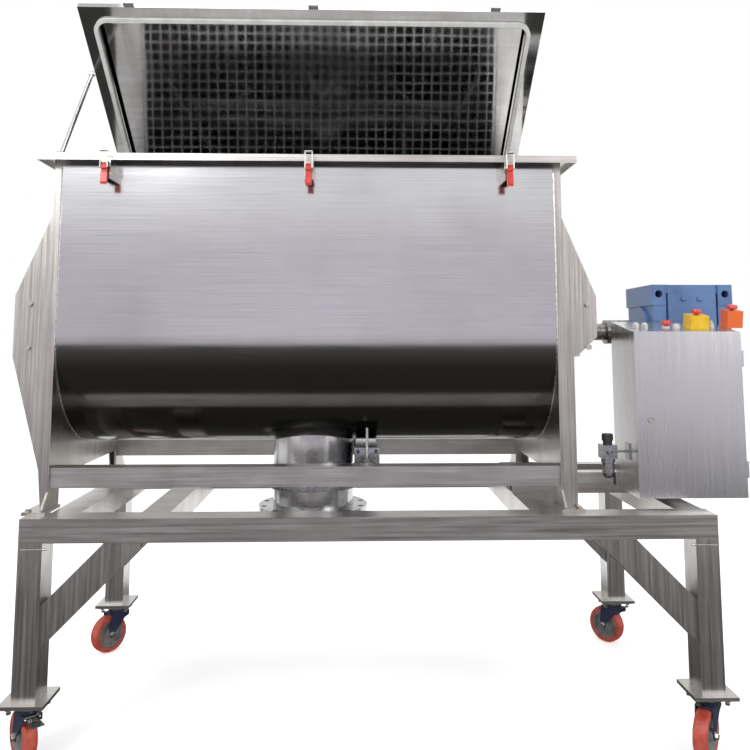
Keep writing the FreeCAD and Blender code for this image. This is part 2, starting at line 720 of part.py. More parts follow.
node("shaft_bearings", group(make_bearings(), make_seals()))
node("main_shaft", make_shaft())
node("outer_ribbons", make_ribbons(outer_radius, "outer_wide", "outer_thick", "0", 1))
node("inner_ribbons", make_ribbons("inner_radius", "inner_wide", "inner_thick", "inner_phase", -1))
node("ribbon_spokes", make_spokes())

# ---------------------------------------------------------------- lid

lid_turn = Rotation(Vector(1, 0, 0), -value("lid_open"))
lid_low = "(rim_top + gasket_thick + seat_gap - hinge_z)"


def on_lid(item):
    """Lid pieces are drawn closed, round the hinge axis, and then opened."""
    return carried(item, (lid_middle, "hinge_y", "hinge_z"), lid_turn)


def make_lid_shell():
    """Folded pan: top sheet, downturned sides and a return flange that carries the gasket."""
    depth = "(lid_depth - lid_rear_gap)"
    pan = box(("-lid_half", "-lid_depth", lid_low), ("2 * lid_half", depth, "lid_high"))
    room = box(
        ("-lid_half + lid_sheet", "-lid_depth + lid_sheet", f"{lid_low} + lid_sheet"),
        ("2 * (lid_half - lid_sheet)", f"{depth} - 2 * lid_sheet", "lid_high - 2 * lid_sheet"),
    )
    mouth = box(
        ("-lid_half + lid_frame", "-lid_depth + lid_frame", lid_low),
        ("2 * (lid_half - lid_frame)", f"{depth} - 2 * lid_frame", "2 * lid_sheet"),
    )
    return cut(pan, room, mouth)


def make_gasket():
    depth = "(lid_depth - lid_rear_gap - 2 * gasket_inset)"
    low = f"{lid_low} - gasket_thick"
    outer = box(("-lid_half + gasket_inset", "-lid_depth + gasket_inset", low), ("2 * (lid_half - gasket_inset)", depth, "gasket_thick"))
    inner = box(
        ("-lid_half + gasket_inset + gasket_wide", "-lid_depth + gasket_inset + gasket_wide", low),
        ("2 * (lid_half - gasket_inset - gasket_wide)", f"{depth} - 2 * gasket_wide", "gasket_thick"),
    )
    doc.recompute()
    corner = value("gasket_corner")
    return cut(rounded(outer, corner, upright_edges), rounded(inner, corner - value("gasket_wide"), upright_edges))


def make_lid_fittings():
    """Hinge leaves, latch keepers and stay studs, all carried by the lid."""
    pieces = []
    for x in (-1, 0, 1):
        start = f"{x} * hinge_spread - knuckle_long / 2"
        barrel = cylinder((start, "0", "0"), "hinge_radius", "knuckle_long", "x")
        leaf = box((start, "-lid_rear_gap", "-hinge_radius"), ("knuckle_long", "lid_rear_gap", "6"))
        bore = cylinder((f"{start} - 1", "0", "0"), "hinge_pin_radius + run_gap", "knuckle_long + 2", "x")
        flap = box((start, "-lid_rear_gap - 45", f"{lid_low} + lid_high"), ("knuckle_long", "60", "4"))
        pieces.append(cut(fuse(barrel, flap, leaf), bore))
    for x in (-1, 0, 1):
        middle = f"{x} * latch_spread"
        pieces.append(
            box(
                (f"{middle} - keeper_wide / 2", "-lid_depth - keeper_out", f"{lid_low} + lid_high - keeper_high"),
                ("keeper_wide", "keeper_out", "keeper_high"),
            )
        )
    stud_long = "(stay_out - stay_eye_half - seat_gap)"
    pieces.append(cylinder((f"-lid_half - {stud_long}", "-stay_stud_at", "0 - stay_stud_drop"), "stay_pin", stud_long, "x"))
    return group(*pieces)


def make_hinge_brackets():
    """Fixed knuckles either side of each lid knuckle, with the pin through all three."""
    pieces = []
    for x in (-1, 0, 1):
        middle = f"{lid_middle} + {x} * hinge_spread"
        parts = []
        for side in sides:
            start = f"{middle} + {side} * (knuckle_long + seat_gap) - knuckle_long / 2"
            barrel = cylinder((start, "hinge_y", "hinge_z"), "hinge_radius", "knuckle_long", "x")
            foot = box((start, "hinge_y - hinge_radius", "rim_top"), ("knuckle_long", "2 * hinge_radius", "hinge_z - rim_top"))
            parts += [barrel, foot]
        pin_start = f"{middle} - 1.5 * knuckle_long - seat_gap - 4"
        parts.append(cylinder((pin_start, "hinge_y", "hinge_z"), "hinge_pin_radius", "3 * knuckle_long + 2 * seat_gap + 8", "x"))
        pieces.append(fuse(*parts))
    return group(*pieces)


node("lid_shell", on_lid(make_lid_shell()))
node("lid_gasket", on_lid(make_gasket()))
node("lid_fittings", on_lid(make_lid_fittings()))

# ---------------------------------------------------------------- lid stay

stay_x = "(trough_x - lid_half - stay_out)"
stay_z = "(rim_top + stay_up)"
stay_rise = f"(hinge_z + stay_stud_at * sin(lid_open) - stay_stud_drop * cos(lid_open) - {stay_z})"
stay_run = "(hinge_y - stay_stud_at * cos(lid_open) - stay_stud_drop * sin(lid_open) - stay_y)"
stay_long = f"sqrt(pow({stay_rise}; 2) + pow({stay_run}; 2))"


def make_stay():
    """Prop rod with an eye at each end, drawn along Y from its pivot and raised to the stud on the lid."""
    pieces = [cylinder(("0", "stay_eye - 2", "0"), "stay_radius", f"{stay_long} - 2 * stay_eye + 4", "y")]
    bores = []
    for y in ("0", stay_long):
        pieces.append(cylinder(("-stay_eye_half", y, "0"), "stay_eye", "2 * stay_eye_half", "x"))
        bores.append(cylinder(("-stay_eye_half - 1", y, "0"), "stay_pin + run_gap", "2 * stay_eye_half + 2", "x"))
    angle = math.degrees(math.atan2(value(stay_rise), value(stay_run)))
    return carried(cut(fuse(*pieces), *bores), (stay_x, "stay_y", stay_z), Rotation(Vector(1, 0, 0), angle))


def make_stay_bracket():
    """Upright plate on the rim's end, with the pin that carries the stay."""
    face = f"({stay_x} - stay_eye_half - seat_gap)"
    plate = box((f"{face} - 5", "stay_y - 14", "rim_top"), ("5", "28", "stay_up + 14"))
    pin = cylinder((f"{face} - 3", "stay_y", stay_z), "stay_pin", "2 * stay_eye_half + seat_gap + 3", "x")
    return fuse(plate, pin)


node("rim_brackets", group(make_hinge_brackets(), make_stay_bracket()))
node("lid_stay", make_stay())

# ---------------------------------------------------------------- toggle latches

latch_face = "(-trough_radius - latch_plate_out)"
latch_pivot_y = f"({latch_face} - latch_plate_thick - latch_pivot_out)"


def make_latch_bases():
    pieces = []
    high = "latch_high_z - latch_low_z"
    for x in (-1, 0, 1):
        middle = f"trough_x + {x} * latch_spread"
        plate_z = "latch_low_z"
        plate = box(
            (f"{middle} - latch_plate_wide / 2", f"{latch_face} - latch_plate_thick", plate_z),
            ("latch_plate_wide", "latch_plate_thick", high),
        )
        webs = []
        for side in sides:
            web_x = f"{middle} + {side} * (latch_plate_wide / 2 - 2) - 2"
            webs.append(box((web_x, latch_face, plate_z), ("4", "latch_plate_out", high)))
            ear_x = f"{middle} + {side} * (handle_wide / 2 + 2 + seat_gap) - 2"
            ear_y = f"{latch_pivot_y} - 6"
            webs.append(box((ear_x, ear_y, "latch_pivot_z - 8"), ("4", "latch_pivot_out + 6", "16")))
        pin = cylinder((f"{middle} - handle_wide / 2 - 4", latch_pivot_y, "latch_pivot_z"), "3", "handle_wide + 8", "x")
        pieces.append(fuse(plate, *webs, pin))
    return group(*pieces)


def make_handle(middle):
    """Lever with its plastic grip, hanging down from the pivot."""
    start_x = f"{middle} - handle_wide / 2"
    boss = cylinder((start_x, latch_pivot_y, "latch_pivot_z"), "6", "handle_wide", "x")
    lever = box(
        (start_x, f"{latch_pivot_y} - handle_thick / 2 - 3", "latch_pivot_z - handle_long"),
        ("handle_wide", "handle_thick", "handle_long"),
    )
    grip_y = f"({latch_pivot_y} - 3)"
    grip_low = "(latch_pivot_z - handle_long - 6)"
    grip_outline = [
        (f"{grip_y} - grip_thick / 2", f"{grip_low} + 8"), (f"{grip_y} - grip_thick / 4", grip_low),
        (f"{grip_y} + grip_thick / 4", grip_low), (f"{grip_y} + grip_thick / 2", f"{grip_low} + 8"),
        (f"{grip_y} + grip_thick / 3", f"{grip_low} + grip_long"),
        (f"{grip_y} - grip_thick / 3", f"{grip_low} + grip_long"),
    ]
    grip = slab(grip_outline, "yz", f"{middle} - grip_wide / 2", "grip_wide")
    bore = cylinder((f"{start_x} - 1", latch_pivot_y, "latch_pivot_z"), "3 + run_gap", "handle_wide + 2", "x")
    lug = box(
        (start_x, f"{latch_pivot_y} - 16", "latch_pivot_z - loop_drop - 5"), ("handle_wide", "11", "10")
    )
    eye = cylinder(
        (f"{start_x} - 1", f"{latch_pivot_y} - 11", "latch_pivot_z - loop_drop"), "loop_wire + run_gap", "handle_wide + 2", "x"
    )
    return cut(fuse(boss, lever, grip, lug), bore, eye)


def make_loop(middle):
    """Wire bail: a cross wire in the handle's eye, two side wires and a hooked end bar."""
    y = f"({latch_pivot_y} - 11)"
    z = "(latch_pivot_z - loop_drop)"
    half = "(loop_wide / 2)"
    cross = cylinder((f"{middle} - {half}", y, z), "loop_wire", "loop_wide", "x")
    end = cylinder((f"{middle} - {half}", y, f"{z} + loop_long"), "loop_wire * 1.6", "loop_wide", "x")
    arms = [
        cylinder((f"{middle} + {side} * ({half} - loop_wire / 2)", y, z), "loop_wire", "loop_long") for side in sides
    ]
    return fuse(cross, end, *arms)


node("latch_bases", make_latch_bases())
for name, x in (("left", -1), ("middle", 0), ("right", 1)):
    latch_x = f"(trough_x + {x} * latch_spread)"
    node(f"latch_handle_{name}", make_handle(latch_x))
    node(f"latch_loop_{name}", make_loop(latch_x))

# ---------------------------------------------------------------- control box

box_top = "(box_low + box_high)"
box_back = "(box_front + box_deep)"
body_front = "(box_front + door_thick + seat_gap)"
slope = math.degrees(math.atan2(value("box_slope_rise"), value("box_deep - door_thick - seat_gap")))


def make_control_box():
    outline = [
        (body_front, "box_low"), (box_back, "box_low"), (box_back, f"{box_top} + box_slope_rise"),
        (body_front, box_top),
    ]
    inner = [
        (body_front, "box_low + box_sheet"), (f"{box_back} - box_sheet", "box_low + box_sheet"),
        (f"{box_back} - box_sheet", f"{box_top} + box_slope_rise - 2 * box_sheet"),
        (body_front, f"{box_top} - box_sheet"),
    ]
    skin = slab(outline, "yz", "box_x", "box_wide")
    shell = cut(skin, slab(inner, "yz", "box_x + box_sheet", "box_wide - 2 * box_sheet"))
    plate_y = f"({box_back} - box_sheet - plate_stand_off)"
    plate = box(
        ("box_x + plate_margin", f"{plate_y} - 2", "box_low + plate_margin"),
        ("box_wide - 2 * plate_margin", "2", "box_high - 2 * plate_margin"),
    )
    studs = []
    for x in ("box_x + plate_margin + 15", "box_x + box_wide - plate_margin - 15"):
        for z in ("box_low + plate_margin + 15", f"{box_top} - plate_margin - 15"):
            studs.append(cylinder((x, f"{plate_y} - 8", z), "5", "plate_stand_off + 10", "y"))
    return fuse(shell, plate, *studs)


def make_door():
    panel = box(("box_x", "box_front", "box_low"), ("box_wide", "door_thick", "box_high"))
    room = box(
        ("box_x + box_sheet", "box_front + box_sheet", "box_low + box_sheet"),
        ("box_wide - 2 * box_sheet", "door_thick - box_sheet", "box_high - 2 * box_sheet"),
    )
    lock_x = "(box_x + lock_in)"
    bore = cylinder((lock_x, "box_front - 1", "lock_z"), "lock_radius + run_gap", "door_thick", "y")
    parts = [cut(panel, room, bore)]
    for z in ("box_low + 70", f"{box_top} - 130"):
        barrel = cylinder(("box_x + box_wide + door_pin_out", "box_front + 8", z), "door_pin_radius", "60")
        leaf = box(("box_x + box_wide", "box_front + 5", z), ("door_pin_out", "4", "60"))
        parts += [barrel, leaf]
    return fuse(*parts)


def make_lock():
    lock_x = "(box_x + lock_in)"
    plug = cylinder((lock_x, "box_front - 4", "lock_z"), "lock_radius", "door_thick + 2", "y")
    slot = middle_box((lock_x, "box_front - 4", "lock_z"), ("lock_radius * 0.9", "4", "3"))
    cam = box((f"{lock_x} - 34", "box_front + door_thick - 6", "lock_z - 9"), ("43", "4", "18"))
    return fuse(cut(plug, slot), cam)


node("control_box", make_control_box())
node("box_door", make_door())
node("box_lock", make_lock())

# ---------------------------------------------------------------- controls on the sloped top

panel_turn = Rotation(Vector(1, 0, 0), slope)
panel_row = "row_back"
mushroom_x = "mushroom_at"
start_x = "start_at"
stop_x = "stop_at"
selector_x = "selector_at"
side_x = "(box_wide + side_box_wide / 2)"
side_y = "(row_back + 20)"


def on_panel(item):
    """Controls are drawn on a level panel whose front left corner is the origin."""
    return carried(item, ("box_x", body_front, box_top), panel_turn)


def dome(x, y, z, radius, high):
    """A head with a broad rounded top edge."""
    head = cylinder((x, y, z), radius, high)
    doc.recompute()
    return rounded(head, value(high) * 0.6, (3,))


def make_lamps():
    return group(*[dome(x, panel_row, "0", "13", "20") for x in ("lamp_left", "lamp_right")])


def make_control_housings():
    """Collars and boxes round the buttons, each with a bore for the button's stem."""
    stop_box = middle_box((stop_x, panel_row, "stop_box_high / 2"), ("stop_box_wide", "stop_box_wide", "stop_box_high"))
    side_box = middle_box(
        (side_x, side_y, "side_box_high / 2"), ("side_box_wide - 2 * seat_gap", "side_box_wide", "side_box_high")
    )
    pieces = [
        cut(stop_box, cylinder((stop_x, panel_row, "stop_box_high - press_deep"), "stem_bore", "press_deep")),
        cut(side_box, cylinder((side_x, side_y, "side_box_high - press_deep"), "stem_bore", "press_deep")),
    ]
    for x, bore in ((mushroom_x, "stem_bore"), (start_x, "start_radius + run_gap"), (selector_x, "stem_bore")):
        collar = cylinder((x, panel_row, "0"), "collar_radius", "collar_high")
        pieces.append(cut(collar, cylinder((x, panel_row, "0"), bore, "collar_high")))
    return group(*pieces)


def make_mushroom(x, y, z, radius):
    """Mushroom head on a stem that stands in the bore under it."""
    low = f"({z} - collar_high + press_travel + seat_gap)"
    head = f"({z} + press_travel + 2)"
    stem = cylinder((x, y, low), "stem_bore - run_gap", f"{head} + 3 - {low}")
    return fuse(stem, dome(x, y, head, radius, "16"))


def make_start_button():
    low = "(press_travel + seat_gap)"
    return cylinder((start_x, panel_row, low), "start_radius", f"collar_high + press_travel + 3 - {low}")


def make_selector():
    stem = cylinder((selector_x, panel_row, "1"), "stem_bore - run_gap", "collar_high + 2")
    base = cylinder((selector_x, panel_row, "collar_high + seat_gap"), "13", "8")
    return fuse(stem, base, middle_box((selector_x, panel_row, "collar_high + 14"), ("7", "24", "12")))


node("panel_lamps", on_panel(make_lamps()))
node("control_housings", on_panel(make_control_housings()))
node("stop_mushroom", on_panel(make_mushroom(mushroom_x, panel_row, "collar_high", "18")))
node("start_button", on_panel(make_start_button()))
node("emergency_stop", on_panel(make_mushroom(stop_x, panel_row, "stop_box_high", "19")))
node("mode_selector", on_panel(make_selector()))
node("side_stop", on_panel(make_mushroom(side_x, side_y, "side_box_high", "20")))

# ---------------------------------------------------------------- drive

gear_middle = "(gear_x + gear_wide / 2)"


def make_gearbox():
    """Cast case: bored lug pads at the corners, slimmer pillars, and a panel between two deep grooves."""
    face = "(gear_half_deep + gear_pad_proud)"
    high = "(gear_top - gear_low)"
    far = "(gear_x + gear_wide - gear_lug)"
    case = box(("gear_x + gear_side_in", "-gear_half_deep", "gear_low"), ("gear_wide - 2 * gear_side_in", "2 * gear_half_deep", high))
    parts = [case]
    for x in ("gear_x", far):
        for z in ("gear_low", "gear_top - gear_pad_high"):
            parts.append(box((x, f"-{face}", z), ("gear_lug", f"2 * {face}", "gear_pad_high")))
    pillar_in = "gear_side_in / 2"
    for x in (f"gear_x + {pillar_in}", far):
        parts.append(
            box((x, f"-{face} + 4", "gear_low"), (f"gear_lug - {pillar_in}", f"2 * ({face} - 4)", high))
        )
    panel_x = "gear_x + gear_lug + gear_groove"
    panel_wide = "gear_wide - 2 * (gear_lug + gear_groove)"
    parts.append(box((panel_x, f"-{face} + 2", "gear_low"), (panel_wide, f"2 * ({face} - 2)", f"{high} - gear_cap_high")))
    flange = cylinder(
        ("gear_x - gear_flange_thick + gear_side_in", "0", "shaft_z"), "gear_flange_radius", "gear_flange_thick", "x"
    )
    holes = []
    for x in ("gear_x + gear_lug / 2", "gear_x + gear_wide - gear_lug / 2"):
        for z in ("gear_low + gear_hole_in", "gear_top - gear_hole_in"):
            holes.append(cylinder((x, f"-{face} - 1", z), "gear_lug_hole", f"2 * {face} + 2", "y"))
    grooves = []
    for x in ("gear_x + gear_lug", f"{far} - gear_groove"):
        for y in (f"-{face}", "gear_half_deep - gear_pad_proud"):
            grooves.append(box((x, y, "gear_low"), ("gear_groove", "2 * gear_pad_proud", f"{high} - gear_cap_high")))
    socket_start = "(gear_x - gear_flange_thick)"
    socket_long = "gear_flange_thick + gear_socket + seat_gap"
    socket = cylinder((socket_start, "0", "shaft_z"), "journal_radius + run_gap", socket_long, "x")
    return cut(fuse(*parts, flange), group(*holes), group(*grooves), socket)


motor_start = "(gear_half_deep + gear_pad_proud)"
motor_end = f"({motor_start} + motor_flange_thick + motor_long)"


def make_motor():
    spot = (gear_middle, motor_start, "motor_z")
    flange = cylinder(spot, "motor_flange_radius", "motor_flange_thick", "y")
    frame = cylinder((gear_middle, f"{motor_start} + motor_flange_thick", "motor_z"), "motor_radius - 12", "motor_long - cowl_long", "y")
    fins = []
    for i in range(18):
        fin = box(("0", "0", "-2"), ("motor_radius", "motor_long - cowl_long", "4"))
        turn = Rotation(Vector(0, 1, 0), i * 20 + 10)
        fins.append(place(group(fin), (gear_middle, f"{motor_start} + motor_flange_thick", "motor_z"), turn))
    cowl_start = f"({motor_end} - cowl_long)"
    cowl = cylinder((gear_middle, cowl_start, "motor_z"), "cowl_radius", "cowl_long", "y")
    terminal = middle_box((gear_middle, f"{motor_start} + 130", "motor_z + motor_radius + 30"), ("110", "120", "60"))
    return group(flange, fuse(frame, *fins), cowl, terminal)


def make_pedestal():
    """Two long beams on the cross members, four posts and the plate under the gear unit."""
    pieces = []
    plate_z = "(gear_low - gear_plate)"
    beam_top = "(stand_top + beam_high)"
    beam_end = "(gear_x + gear_wide)"
    for y in sides:
        middle_y = f"{y} * beam_y"
        corner = ("beam_start", f"{middle_y} - beam_wide / 2", "stand_top")
        pieces.append(tube(corner, (f"{beam_end} - beam_start", "beam_wide", "beam_high"), "x"))
        for x in ("gear_x", "gear_x + gear_wide - post_side"):
            corner = (x, f"{middle_y} - post_side / 2", beam_top)
            pieces.append(tube(corner, ("post_side", "post_side", f"{plate_z} - {beam_top}"), "z"))
    pieces.append(
        box(("gear_x", f"-{motor_start}", plate_z), ("gear_wide", f"2 * {motor_start}", "gear_plate"))
    )
    for z in (950, 1150):
        y0 = f"({box_back})"
        pieces.append(box(("gear_x + 5", y0, f"{z}"), ("50", f"-beam_y - post_side / 2 - {y0}", "60")))
    return group(*pieces)


node("gearbox", make_gearbox())
node("motor", make_motor())
node("drive_pedestal", make_pedestal())

# ---------------------------------------------------------------- discharge valve

actuator_middle = "(trough_x + actuator_x)"
cap_size = ("actuator_side", "cap_thick", "actuator_side")
ring_low = "(valve_z - valve_ring_high / 2)"
ring_top = "(valve_z + valve_ring_high / 2)"


def pipe(low, high):
    outer = cylinder(("trough_x", "0", low), "pipe_radius", f"{high} - {low}")
    inner = cylinder(("trough_x", "0", low), "pipe_radius - pipe_wall", f"{high} - {low}")
    return cut(outer, inner)


def make_spout():
    """Collar welded under the trough, and the flanged outlet below the valve."""
    trough_outside = cylinder((trough_left, "0", "shaft_z"), "trough_radius + seat_gap", "trough_length", "x")
    collar = cut(pipe(ring_top, "(shaft_z - trough_radius * 0.8)"), trough_outside)
    outlet = pipe("outlet_z", ring_low)
    flange = cylinder(("trough_x", "0", "outlet_z"), "outlet_flange_radius", "outlet_flange_thick")
    bore = cylinder(("trough_x", "0", "outlet_z"), "pipe_radius - pipe_wall", "outlet_flange_thick")
    holes = []
    for i in range(int(value("outlet_holes"))):
        angle = f"(({i} + 0.5) * 360 / outlet_holes)"
        spot = (f"trough_x + outlet_pcd / 2 * cos({angle})", f"outlet_pcd / 2 * sin({angle})", "outlet_z - 1")
        holes.append(cylinder(spot, "outlet_hole", "outlet_flange_thick + 2"))
    return group(collar, fuse(outlet, cut(flange, bore, group(*holes))))


def make_valve_body():
    ring = cylinder(("trough_x", "0", ring_low), "valve_ring_radius", "valve_ring_high")
    neck = cylinder(("trough_x + valve_bore", "0", "valve_z"), "26", "neck_reach - valve_bore", "x")
    bore = cylinder(("trough_x", "0", ring_low), "valve_bore", "valve_ring_high")
    passage = cylinder(("trough_x - valve_ring_radius - 1", "0", "valve_z"), "stem_radius + run_gap", "2 * valve_ring_radius + 60", "x")
    return cut(fuse(ring, neck), bore, passage)


def make_valve_disc():
    """Disc on its stem; the stem runs on into the actuator."""
    plate = cylinder(("trough_x", "0", "valve_z - disc_thick / 2"), "valve_bore - seat_gap", "disc_thick")
    hub = cylinder(("trough_x - valve_bore * 0.9", "0", "valve_z"), "20", "valve_bore * 1.8", "x")
    stem_long = "valve_ring_radius + neck_reach + stem_seat"
    stem = cylinder(("trough_x - valve_ring_radius", "0", "valve_z"), "stem_radius", stem_long, "x")
    return fuse(plate, hub, stem)


def make_actuator():
    """Pneumatic actuator lying along Y, on a closed lever housing that takes the valve's stem."""
    long_size = "(2 * (actuator_half_long - cap_thick))"
    body = ("actuator_side - 12", long_size, "actuator_side - 8")
    barrel = middle_box((actuator_middle, "0", "actuator_z"), body)
    caps = [
        middle_box((actuator_middle, f"{y} * (actuator_half_long - cap_thick / 2)", "actuator_z"), cap_size)
        for y in sides
    ]
    grooves = [
        middle_box((f"{actuator_middle} + {x}", "0", f"actuator_z + {z}"), ("12", long_size, "12"))
        for x, z in (("actuator_side / 2", "0"), ("0", "actuator_side / 2"), ("0", "0 - actuator_side / 2"))
    ]
    barrel = cut(barrel, *grooves)
    boss = cylinder((actuator_middle, "-actuator_half_long - 12", "actuator_z"), "15", "12", "y")
    low = "(valve_z - lever_housing / 2)"
    housing = box(
        ("trough_x + neck_reach", "-lever_housing / 2", low),
        ("housing_deep", "lever_housing", f"actuator_z - actuator_side / 2 + 4 - {low}"),
    )
    bore = cylinder(
        ("trough_x + valve_bore", "0", "valve_z"), "stem_radius + run_gap",
        "neck_reach + stem_seat + seat_gap - valve_bore", "x",
    )
    return group(barrel, fuse(caps[0], boss), caps[1], cut(housing, bore))


def make_lever():
    """Manual override lever, standing up from the boss on the front cap."""
    y = "(-actuator_half_long - 12 - seat_gap)"
    hub = cylinder((actuator_middle, f"{y} - 16", "actuator_z"), "13", "16", "y")
    arm = cylinder((actuator_middle, f"{y} - 8", "actuator_z + 10"), "lever_radius", "lever_long")
    return fuse(hub, arm)


node("discharge_spout", make_spout())
node("valve_body", make_valve_body())
node("valve_disc", make_valve_disc())
node("valve_actuator", make_actuator())
node("override_lever", make_lever())

# ---------------------------------------------------------------- air supply unit


air_turn = Rotation(Vector(1, 0, 0), 90)
body_low = "(air_body_high / 2)"


def make_air_unit():
    """Filter regulator on an arm from the control box: square body, turned bowl with its guard ring."""
    block = middle_box(("air_x", "air_y", "air_z"), ("air_side", "air_side", "air_body_high"))
    port = "air_y - air_side / 2 - inlet_long"
    inlet = cylinder(("air_x", port, "air_z"), "10", "inlet_long + 1", "y")
    hole = cylinder(("air_x", f"{port} - 1", "air_z"), "inlet_bore", "inlet_long + 1", "y")
    arm = box(("air_x + air_side / 2", "air_y - 15", "air_z - 3"), ("box_x - air_x - air_side / 2 - 4", "30", "6"))
    foot = box(("box_x - 4", "air_y - 22", "air_z - 30"), ("4", "44", "60"))
    bowl = turned(
        [
            ("0", f"-{body_low} - bowl_high"), ("bowl_radius * 0.5", f"-{body_low} - bowl_high + 2"),
            ("bowl_radius * 0.85", f"-{body_low} - bowl_high + 9"), ("bowl_radius", f"-{body_low} - bowl_high + 20"),
            ("bowl_radius", f"-{body_low} - 14"), ("bowl_radius + 3", f"-{body_low} - 14"),
            ("bowl_radius + 3", f"-{body_low} + 1"), ("0", f"-{body_low} + 1"),
        ],
        "bowl",
    )
    bowl = place(bowl, ("air_x", "air_y", "air_z"), air_turn)
    return cut(fuse(block, inlet, arm, foot, bowl), hole)


def make_air_knob():
    """Adjusting knob with a waist, turned round its axis."""
    start = f"({body_low} + seat_gap)"
    knob = turned(
        [
            ("0", start), ("knob_radius - 4", start), ("knob_radius - 4", f"{start} + knob_high * 0.3"),
            ("knob_radius", f"{start} + knob_high * 0.36"), ("knob_radius", f"{start} + knob_high * 0.86"),
            ("knob_radius - 3", f"{start} + knob_high"), ("0", f"{start} + knob_high"),
        ],
        "knob",
    )
    return place(knob, ("air_x", "air_y", "air_z"), air_turn)


node("air_unit", make_air_unit())
node("air_knob", make_air_knob())

# ---------------------------------------------------------------- fasteners


def make_fasteners():
    """Hexagon heads on the end housings' front, the bearings' feet, the cap of each foot and the castor plates."""
    heads = []
    for side, reach in ((-1, 85), (1, 105)):
        for z in ("shelf_top + 25", "shelf_top + 180"):
            spot = (f"{end_face(side)} + {side} * {reach}", "-trough_radius - bolt_high", z)
            heads.append(hexagon(spot, "bolt_radius", "bolt_high", "y"))
    for side in sides:
        for y in sides:
            bearing = (
                f"{end_face(side)} + {side} * bearing_offset", f"{y} * (bearing_base_long / 2 - 18)",
                "shelf_top + bearing_base_high",
            )
            heads.append(hexagon(bearing, "bolt_radius", "bolt_high"))
            foot = (f"{end_face(side)} + {side} * (foot_pad_wide - 32)", f"{y} * (trough_radius + foot_pad_out / 2)", foot_top)
            heads.append(hexagon(foot, "bolt_radius", "bolt_high"))
    for x in sides:
        for y in sides:
            for u in sides:
                for v in sides:
                    spot = (
                        f"{leg_x(x)} + {u} * (caster_plate_long / 2 - 13)",
                        f"{leg_y(y)} + {v} * (caster_plate_wide / 2 - 12)",
                        "caster_height - caster_plate_thick - 6",
                    )
                    heads.append(hexagon(spot, "7", "6"))
    return group(*heads)


node("fasteners", make_fasteners())

# ---------------------------------------------------------------- checks and export

doc.recompute()
faults = [item.Name for item in doc.Objects if "Invalid" in item.State or "Error" in item.State]
faults += [item.Label for item in nodes if item.Shape.isNull() or not item.Shape.isValid()]
faults += [item.Label for item in nodes if not item.Shape.Solids]
if faults:
    raise RuntimeError("failed objects: " + ", ".join(faults))

os.makedirs("parts", exist_ok=True)
for item in nodes:
    item.Shape.exportStep(f"parts/{item.Label}.step")
print(len(nodes), "nodes written")
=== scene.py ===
import json
import math
import bpy
import bmesh
import numpy as np
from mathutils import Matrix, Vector


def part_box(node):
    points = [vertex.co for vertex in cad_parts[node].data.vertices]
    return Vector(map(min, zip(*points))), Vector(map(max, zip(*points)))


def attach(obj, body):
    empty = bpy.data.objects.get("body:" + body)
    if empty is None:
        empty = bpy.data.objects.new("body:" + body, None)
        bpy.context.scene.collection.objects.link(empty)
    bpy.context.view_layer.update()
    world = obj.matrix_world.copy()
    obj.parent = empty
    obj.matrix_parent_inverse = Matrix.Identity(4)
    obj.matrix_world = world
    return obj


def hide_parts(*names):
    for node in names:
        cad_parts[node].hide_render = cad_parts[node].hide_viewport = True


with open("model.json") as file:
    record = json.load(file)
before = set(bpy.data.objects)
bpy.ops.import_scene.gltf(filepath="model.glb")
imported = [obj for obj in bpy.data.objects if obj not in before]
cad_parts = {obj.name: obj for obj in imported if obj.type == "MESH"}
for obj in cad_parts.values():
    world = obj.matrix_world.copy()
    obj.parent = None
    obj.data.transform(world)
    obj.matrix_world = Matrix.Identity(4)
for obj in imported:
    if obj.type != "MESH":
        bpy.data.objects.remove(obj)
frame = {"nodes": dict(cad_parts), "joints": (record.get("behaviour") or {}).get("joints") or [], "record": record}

nodes = frame["nodes"]
joints = {joint["name"]: joint for joint in frame["joints"]}
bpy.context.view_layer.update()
mm = 0.001
print("frame loaded with", len(nodes), "nodes")


# materials: every pattern reads Object coordinates

def startMaterial(name, stretch=(1, 1, 1)):
    material = bpy.data.materials.new(name)
    material.use_nodes = True
    tree = material.node_tree
    coords = tree.nodes.new("ShaderNodeTexCoord")
    mapping = tree.nodes.new("ShaderNodeMapping")
    mapping.inputs["Scale"].default_value = stretch
    tree.links.new(coords.outputs["Object"], mapping.inputs["Vector"])
    return material, tree, tree.nodes["Principled BSDF"], mapping.outputs["Vector"], coords.outputs["Object"]


def cloud(tree, vector, scale, detail=4.0):
    noise = tree.nodes.new("ShaderNodeTexNoise")
    noise.inputs["Scale"].default_value = scale
    noise.inputs["Detail"].default_value = detail
    tree.links.new(vector, noise.inputs["Vector"])
    return noise.outputs["Fac"]


def spread(tree, fac, low, high, fromLow=0.3, fromHigh=0.7):
    rangeNode = tree.nodes.new("ShaderNodeMapRange")
    for name, number in (("From Min", fromLow), ("From Max", fromHigh), ("To Min", low), ("To Max", high)):
        rangeNode.inputs[name].default_value = number
    tree.links.new(fac, rangeNode.inputs["Value"])
    return rangeNode.outputs["Result"]


def blendColours(tree, fac, first, second):
    mix = tree.nodes.new("ShaderNodeMix")
    mix.data_type = "RGBA"
    tree.links.new(fac, mix.inputs["Factor"])
    for socket, colour in ((mix.inputs["A"], first), (mix.inputs["B"], second)):
        if isinstance(colour, tuple):
            socket.default_value = (*colour, 1)
        else:
            tree.links.new(colour, socket)
    return mix.outputs["Result"]


def calculate(tree, operation, first, second=None):
    node = tree.nodes.new("ShaderNodeMath")
    node.operation = operation
    for socket, item in zip(node.inputs, (first, second)):
        if item is None:
            continue
        if isinstance(item, (int, float)):
            socket.default_value = item
        else:
            tree.links.new(item, socket)
    return node.outputs["Value"]


